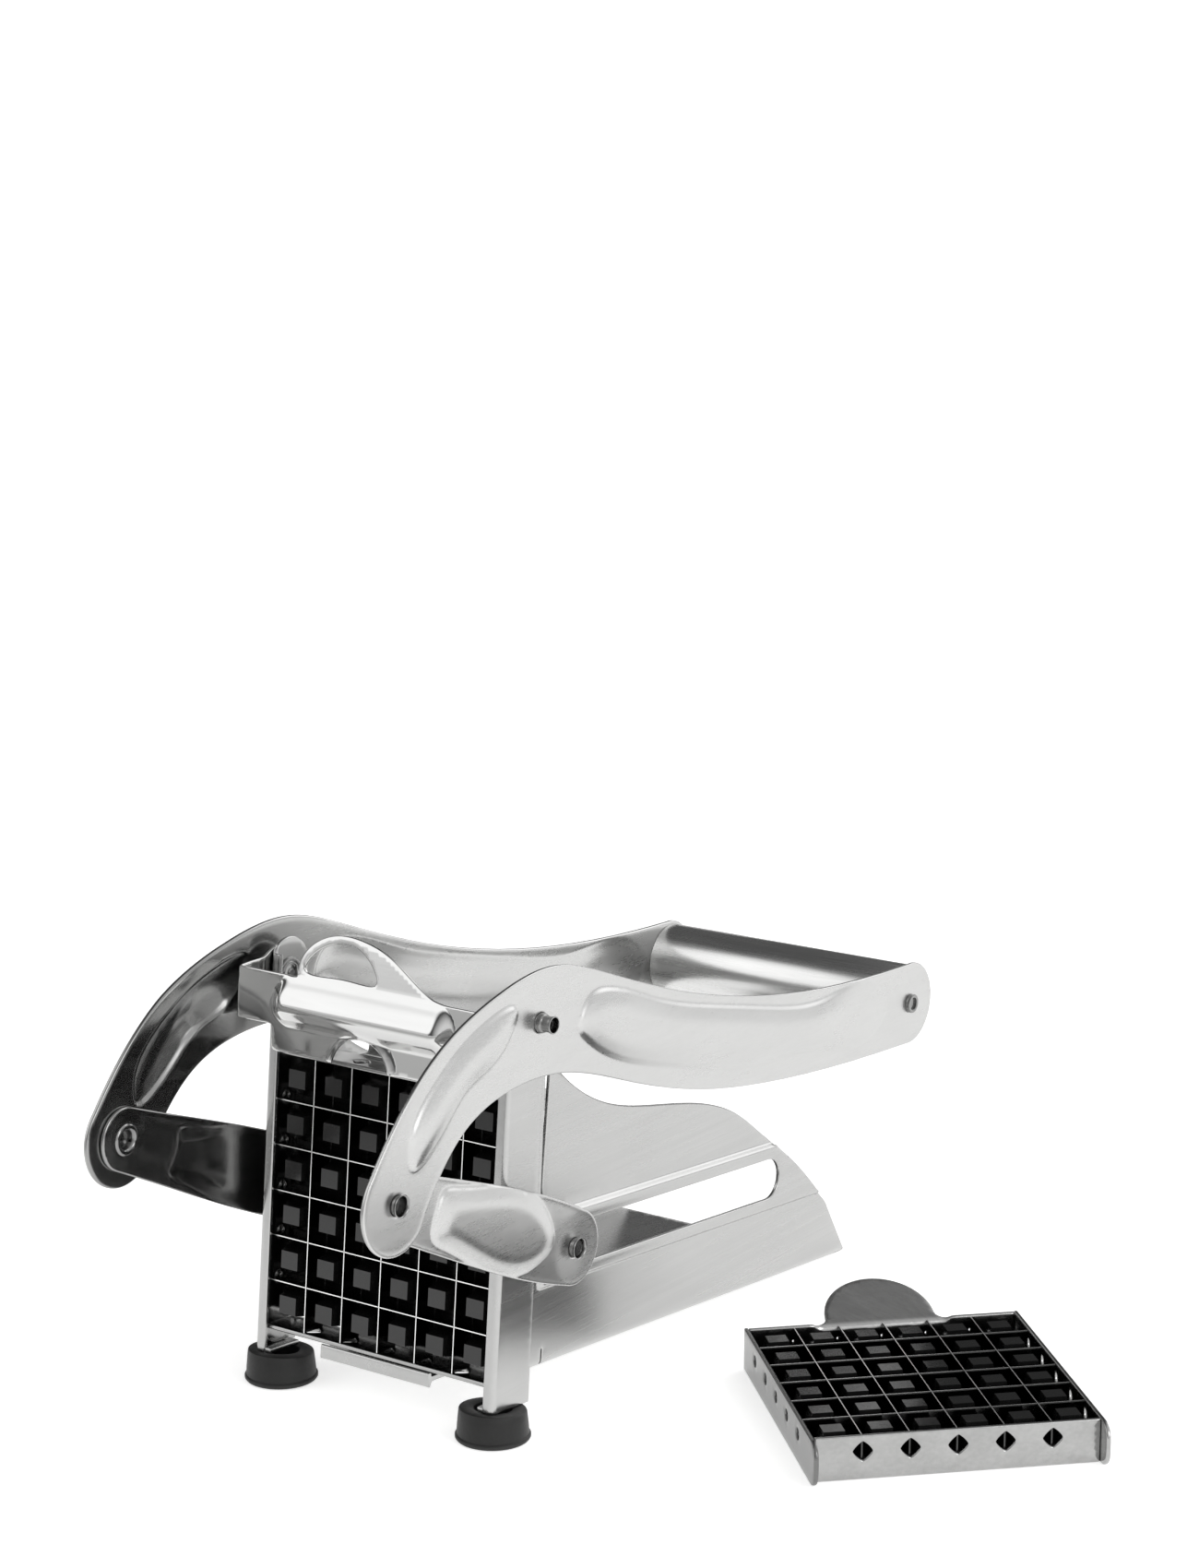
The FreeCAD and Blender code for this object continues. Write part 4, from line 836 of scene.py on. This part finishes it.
def cover_press(flat):
    """The round-ended rib, gentler above than below, and the curled rim of the finger notch."""
    reach = np.where(flat[:, 1] > RIB_LEVEL, RIB_ABOVE, RIB_BELOW)
    past_end = np.maximum(0.0, np.abs(flat[:, 0]) - RIB_STRAIGHT) / RIB_BELOW
    out = np.hypot(past_end, (flat[:, 1] - RIB_LEVEL) / reach)
    rib = RIB_RISE * np.clip(1.0 - out ** 2, 0.0, 1.0) ** 1.5
    from_notch = np.linalg.norm(flat - np.array(NOTCH_CENTRE), axis=1) - NOTCH_RADIUS
    return rib + 1.5 * np.clip(1.0 - np.maximum(0.0, from_notch) / 2.6, 0.0, 1.0) ** 2


def make_cover():
    run = COVER_SIDE - COVER_FRONT
    lobe, eye = node_loops("top_cover", 1, COVER_FRONT)[:2]
    lobe = lobe[lobe[:, 1] > 60.2]
    lobe = lobe[np.argsort(lobe[:, 0])]
    ear = arc_through((run + 11.0, 54.2), (run + 7.0, 62.5), (run - 3.0, 61.0), 12)
    turn = math.degrees(math.asin((SKIRT_FOOT - NOTCH_CENTRE[1]) / NOTCH_RADIUS))
    right = [(29.0, SKIRT_FOOT), (29.0, STRAP_FOOT), (run + 5.5, STRAP_FOOT), *ear, (COVER_SIDE, STRAP_TOP)]
    left = [(-across, level) for across, level in reversed(right)]
    notch = arc_line(NOTCH_CENTRE, NOTCH_RADIUS, 180.0 - turn, turn, 18)
    outline = right + [(25.0, STRAP_TOP), *lobe[::-1], (-21.5, STRAP_TOP)] + left + [*notch]
    rim = anticlockwise(even_loop(rounded_line(outline, 1.3, 3), 0.9))
    holes = [even_loop(eye, 0.8)]
    holes += [ring((side * (run + PIVOT[0]), PIVOT[1]), PIN_HOLE) for side in (1, -1)]
    levels = np.arange(47.0, 59.6, 0.8)
    folds = [column_at(side * (COVER_SIDE + 1.3 * step), levels)
             for step in np.linspace(-1.0, 1.0, 9) for _, side in SIDES]
    rows = [row_at(np.arange(-33.0, 33.0, 0.7), level) for level in np.arange(45.9, 59.5, 0.42)]

    def place(flat, depth):
        from_middle = np.abs(flat[:, 0])
        across, back = folded(from_middle, depth, COVER_SIDE, 1.0)
        back += LOBE_LEAN * np.maximum(0.0, flat[:, 1] - BOX_TOP) * ease((33.0 - from_middle) / 6.0)
        bulge = LEFT_BULGE * ease((-flat[:, 0] - 33.0) / 7.0) * (1.0 - ease(back / 15.0))
        return to_row(np.column_stack([np.sign(flat[:, 0]) * across - bulge, COVER_FRONT + back, flat[:, 1]]))

    mesh = sheet(rim, holes, THIN_GAUGE, place, cover_press, folds + rows, 1.0, 0.3)
    piece("top_cover_pressing", mesh, "top_cover")


def arc_through(start, middle, end, steps):
    """Points along the circle that passes through three spots."""
    (ax, ay), (bx, by), (cx, cy) = start, middle, end
    scale = 2 * (ax * (by - cy) + bx * (cy - ay) + cx * (ay - by))
    squares = [x * x + y * y for x, y in (start, middle, end)]
    ux = (squares[0] * (by - cy) + squares[1] * (cy - ay) + squares[2] * (ay - by)) / scale
    uy = (squares[0] * (cx - bx) + squares[1] * (ax - cx) + squares[2] * (bx - ax)) / scale
    angles = np.unwrap([math.atan2(y - uy, x - ux) for x, y in (start, middle, end)])
    first = np.linspace(angles[0], angles[1], steps // 2 + 1)
    turns = np.concatenate([first, np.linspace(angles[1], angles[2], steps // 2 + 1)[1:]])
    radius = math.hypot(ax - ux, ay - uy)
    return np.column_stack([ux + radius * np.cos(turns), uy + radius * np.sin(turns)])


# ---- cassettes and stud plates ----

STRIP_FRONT, STRIP_REAR = -0.4, 11.0
STRIP_LENGTH = STRIP_REAR - STRIP_FRONT
STRIP_HALF = 36.1
STRIP_INNER = {"top": 36.0, "bottom": -37.2}
TAB_BEND = 2.3
PLATE_OUTSIDE = 37.3
BLADE_MIDDLE = 3.7
STEPS = range(-2, 3)
PITCH = 12.0
SPARE_MIDDLE = (114.4, 74.0, 0.0)


def spare_matrix():
    """Takes the upright frame to the row frame for the spare cassette, which lies flat on the worktop."""
    middle = TO_ROW @ Vector(SPARE_MIDDLE)
    place = Matrix.Translation((middle.x, middle.y, STRIP_REAR * 0.001))
    heading = Matrix.Rotation(math.radians(45.0), 4, "Z") @ Matrix.Rotation(math.radians(-90.0), 4, "X")
    return place @ heading @ Matrix.Scale(0.001, 4)


def diamond(across, level, half):
    """A hole standing on its corner, with its corners rounded."""
    corners = [(across + half, level), (across, level + half), (across - half, level), (across, level - half)]
    return even_loop(rounded_line(corners, min(0.45, half / 3), 3), min(0.5, half / 2))


def make_strip(prefix, label, matrix, tab, mirrored):
    """A strip across the grid, with a hole at each blade and, on the top one, a bent finger tab.

    mirrored turns it front to back for the spare cassette, where the holes beside the tab are only slits."""
    node = f"{prefix}cassette_{label}_strip"
    low, half, length = STRIP_INNER[label], STRIP_HALF, STRIP_LENGTH
    corners = [(-half, 0.0), (half, 0.0), (half, length)]
    if tab:
        shoulder = [(17.3, length), (16.0, length + 0.5), (15.1, length + 1.4)]
        corners += [*shoulder, *arc_line((0.0, length + 1.78), 14.92, 2.0, 178.0, 40)]
        corners += [(-across, level) for across, level in reversed(shoulder)]
    corners.append((-half, length))
    rim = anticlockwise(even_loop(np.array(corners), 0.9))
    middle = length - (BLADE_MIDDLE - STRIP_FRONT) if mirrored else BLADE_MIDDLE - STRIP_FRONT
    holes = [diamond(PITCH * step, middle, 0.5 if mirrored and tab else 2.6) for step in STEPS]
    along = np.arange(-20.0, 20.0, 0.8)
    detail = [row_at(along, length + TAB_BEND * step) for step in np.linspace(-1.0, 0.6, 10)]

    def place(flat, depth):
        angle = math.radians(68.0 if mirrored else 90.0)
        bend, up = bent(flat[:, 1], depth, length - TAB_BEND, TAB_BEND, angle)
        share = ease((19.0 - np.abs(flat[:, 0])) / 2.6) if tab else np.zeros(len(flat))
        run = flat[:, 1] + (bend - flat[:, 1]) * share
        rise = depth + (up - depth) * share
        if label == "bottom":
            rise = GAUGE - rise
        back = STRIP_REAR - run if mirrored else STRIP_FRONT + run
        return to_row(np.column_stack([flat[:, 0], back, low + rise]), matrix)

    piece(f"{node}_pressing", sheet(rim, holes, GAUGE, place, None, detail if tab else (), 1.1), node)


def make_plate(prefix, label, side, matrix):
    node = f"{prefix}cassette_{label}_plate"
    rim = even_loop(node_loops(f"cassette_{label}_plate", 0, side * PLATE_OUTSIDE)[0], 1.0)
    holes = [ring((BLADE_MIDDLE, PITCH * step), 1.5, 20) for step in STEPS]

    def place(flat, depth):
        return to_row(np.column_stack([side * (PLATE_OUTSIDE - depth), flat]), matrix)

    piece(f"{node}_pressing", sheet(rim, holes, GAUGE, place, None, (), 1.5), node)


BEVEL_DEPTH = 0.3
EDGE_SHARE = 0.65


def make_blades(prefix, direction, matrix):
    """The CAD blades with a short ground bevel along their cutting edges, which have a brighter material."""
    node = f"{prefix}{direction}_blades"
    shape = bmesh.new()
    shape.from_mesh(NODES[f"{direction}_blades"].data)
    bmesh.ops.remove_doubles(shape, verts=shape.verts, dist=1e-6)
    bmesh.ops.transform(shape, matrix=FROM_ROW, verts=shape.verts)
    everything = shape.verts[:] + shape.edges[:] + shape.faces[:]
    bmesh.ops.bisect_plane(shape, geom=everything, plane_co=(0.0, BEVEL_DEPTH, 0.0), plane_no=(0.0, 1.0, 0.0))
    number = 0 if direction == "vertical" else 2
    for vertex in shape.verts:
        if vertex.co.y < 0.02:
            middle = PITCH * round(vertex.co[number] / PITCH)
            vertex.co[number] = middle + (vertex.co[number] - middle) * EDGE_SHARE
    for face in shape.faces:
        face.material_index = 1 if face.calc_center_median().y < 0.05 else 0
    bmesh.ops.transform(shape, matrix=matrix, verts=shape.verts)
    item = piece(f"{node}_ground", finish_mesh(shape, 12.0), node)
    item.data.materials.append(MATERIALS["blade_edge"])


STUD_REACH = 7.6
STUD_ROOT = (3.9, 3.7)
STUD_TIP = (2.7, 2.35)


def make_studs(node, matrix):
    """A plate with 36 tapered studs that stand in the grid's cells."""
    half, foot = 35.2, -34.3
    front, rear = 7.8, 10.8
    shape = bmesh.new()
    slab(shape, (-half, front, foot), (half, rear, half))
    ease_edges(shape, 0.5, 2)
    for column in range(6):
        for row in range(6):
            across, level = PITCH * (column - 2.5), PITCH * (row - 2.5)
            stud = bmesh.new()
            corners = slab(stud, (-1.0, 0.0, -1.0), (1.0, 1.0, 1.0))
            for corner in corners:
                at_root = corner.co.y > 0.5
                half_width, half_height = STUD_ROOT if at_root else STUD_TIP
                back = front + 0.2 if at_root else front - STUD_REACH
                corner.co = (across + corner.co.x * half_width, back, level + corner.co.z * half_height)
            ease_edges(stud, 0.7, 4)
            join_shape(shape, stud)
    bmesh.ops.transform(shape, matrix=matrix, verts=shape.verts)
    piece(f"{node}_moulded", finish_mesh(shape, 44.0), node)


def join_shape(shape, other):
    """Moves one shape's mesh into another."""
    mesh = bpy.data.meshes.new("part")
    other.to_mesh(mesh)
    other.free()
    shape.from_mesh(mesh)
    bpy.data.meshes.remove(mesh)


FOOT_ACROSS, FOOT_BACK = 34.5, 4.5
FOOT_BASE, FOOT_TOP = -51.0, -43.25
FOOT_TURNS = np.linspace(0.0, 2 * math.pi, 72, endpoint=False)
FOOT_LIP = [(8.6, 0.0), (9.35, 0.1), (9.6, 0.45), (9.62, 0.95), (9.4, 1.25), (9.15, 1.45)]
FOOT_WALL = [(9.05, 0.3), (8.85, 0.62), (8.65, 0.92), (8.5, 0.975), (8.2, 1.0), (5.2, 1.0), (4.9, 0.975),
             (4.8, 0.92), (4.6, 0.5)]


def make_foot(label, side):
    """A rubber foot: its base stands on the worktop and its top follows the leaning shelf.

    FOOT_LIP holds radii and heights, FOOT_WALL radii and shares of the height above the lip."""
    node = f"{label}_foot"
    centre = TO_ROW @ Vector((side * FOOT_ACROSS, FOOT_BACK, FOOT_BASE))
    top = TO_ROW @ Vector((side * FOOT_ACROSS, FOOT_BACK, FOOT_TOP))
    slope = REARWARDS.z / REARWARDS.y
    lip_height = FOOT_LIP[-1][1] * 0.001
    shape = bmesh.new()
    rings = []
    for radius, height in FOOT_LIP + FOOT_WALL:
        vertices = []
        for turn in FOOT_TURNS:
            across = centre.x + radius * 0.001 * math.cos(turn)
            back = centre.y + radius * 0.001 * math.sin(turn)
            level = height * 0.001
            if len(rings) >= len(FOOT_LIP):
                level = lip_height + (top.z + slope * (back - top.y) - lip_height) * height
            vertices.append(shape.verts.new((across, back, level)))
        rings.append(vertices)
    bridge(shape, rings)
    shape.faces.new(rings[0])
    shape.faces.new(rings[-1])
    piece(f"{node}_moulded", finish_mesh(shape, 40.0), node)


make_trough()
make_cover()
for label, side in SIDES:
    make_channel(label, side)
    make_foot(label, side)
    make_arm(label, side)
    make_link(label, side)
    make_pins(label, side)
make_handle()
SPARE = spare_matrix()
for prefix, matrix, mirrored in (("", TO_ROW, False), ("spare_", SPARE, True)):
    make_strip(prefix, "top", matrix, True, mirrored)
    make_strip(prefix, "bottom", matrix, False, mirrored)
    for label, side in SIDES:
        make_plate(prefix, label, side, matrix)
    make_blades(prefix, "vertical", matrix)
    make_blades(prefix, "horizontal", matrix)
make_studs("pusher_stud_plate", TO_ROW)
make_studs("spare_stud_plate", SPARE)
for node in ("pusher_carrier", "pusher_axle", "slot_bushes", "guide_shoe", "guide_screw", "plate_screws",
             "handle_tie_rod", "handle_end_plugs"):
    rounded(node, 0.2)


# ---- floor, light and camera ----

def make_floor():
    """A pale worktop lit from within like a light table, with painted shade ahead and to the left of the dicer."""
    shape = bmesh.new()
    bmesh.ops.create_grid(shape, x_segments=8, y_segments=8, size=30.0)
    mesh = bpy.data.meshes.new("worktop")
    shape.to_mesh(mesh)
    shape.free()
    floor = bpy.data.objects.new("worktop", mesh)
    floor.location = (0.0, 0.0, -0.0002)
    bpy.context.scene.collection.objects.link(floor)
    nodes = new_material("pale_worktop")
    place = nodes.add("ShaderNodeTexCoord").outputs["Object"]
    # Painted shade: ahead and to the left the worktop is darker and glows less.
    shade = nodes.toward(place, (-0.57, -0.82, 0.0), 0.26, 0.56)
    pale = nodes.blend(nodes.noise(3.0), grey(0.90), grey(0.93))
    nodes.feed(nodes.shader.inputs["Base Color"], nodes.blend(shade, pale, grey(0.52)))
    nodes.shader.inputs["Emission Color"].default_value = (1.0, 1.0, 1.0, 1.0)
    nodes.feed(nodes.shader.inputs["Emission Strength"], nodes.spread(shade, 0.62, 0.20, 0.0, 1.0))
    nodes.shader.inputs["Roughness"].default_value = 0.7
    nodes.shader.inputs["Specular IOR Level"].default_value = 0.1
    mesh.materials.append(nodes.owner)


def make_world():
    """A studio, light to the right and dark to the left, with soft boxes front left and high at the rear."""
    world = bpy.data.worlds.new("studio")
    bpy.context.scene.world = world
    nodes = Nodes(world, "Background")
    way = nodes.add("ShaderNodeTexCoord").outputs["Generated"]
    right = nodes.toward(way, (1.0, 0.22, 0.05), -0.15, 0.45)
    panel = nodes.toward(way, (-0.56, -0.66, 0.50), 0.86, 0.93)
    horizon = nodes.toward(way, (0.0, 0.0, -1.0), -0.05, -0.02)
    rear = nodes.toward(way, (0.25, 0.80, 0.54), 0.90, 0.95)
    boxes = nodes.math("ADD", nodes.math("MULTIPLY", panel, 1.4), nodes.math("MULTIPLY", rear, 1.2))
    room = nodes.math("ADD", nodes.spread(right, 0.10, 0.95, 0.0, 1.0), boxes)
    level = nodes.math("MAXIMUM", room, nodes.math("MULTIPLY", horizon, 1.15))
    nodes.feed(nodes.shader.inputs["Color"], level)
    nodes.shader.inputs["Strength"].default_value = 1.0


def soft_box(name, place, aim, width, height, power):
    data = bpy.data.lights.new(name, "AREA")
    data.shape, data.size, data.size_y, data.energy = "RECTANGLE", width, height, power
    lamp = bpy.data.objects.new(name, data)
    lamp.location = place
    lamp.rotation_euler = (Vector(aim) - Vector(place)).to_track_quat("-Z", "Y").to_euler()
    bpy.context.scene.collection.objects.link(lamp)


CAMERA_PLACE = (520.96, -674.13, 231.84)
CAMERA_AIM = (0.0, 86.34, 103.17)
CAMERA_ROLL = math.radians(3.108)


def make_camera():
    """The photograph's viewpoint, given in the upright frame."""
    data = bpy.data.cameras.new("camera")
    data.lens, data.sensor_width, data.sensor_fit = 79.33, 36.0, "AUTO"
    data.clip_start, data.clip_end = 0.01, 100.0
    camera = bpy.data.objects.new("camera", data)
    place = Vector(CAMERA_PLACE)
    heading = (Vector(CAMERA_AIM) - place).to_track_quat("-Z", "Y").to_matrix().to_4x4()
    roll = Matrix.Rotation(CAMERA_ROLL, 4, "Z")
    camera.matrix_world = Matrix.Translation(TO_ROW @ place) @ TURN @ heading @ roll
    bpy.context.scene.collection.objects.link(camera)
    bpy.context.scene.camera = camera


make_floor()
make_world()
soft_box("right_front", (1.4, -0.3, 0.7), (0.0, 0.0, 0.05), 0.5, 0.8, 4.0)
make_camera()
bpy.context.scene.view_settings.view_transform = "Standard"
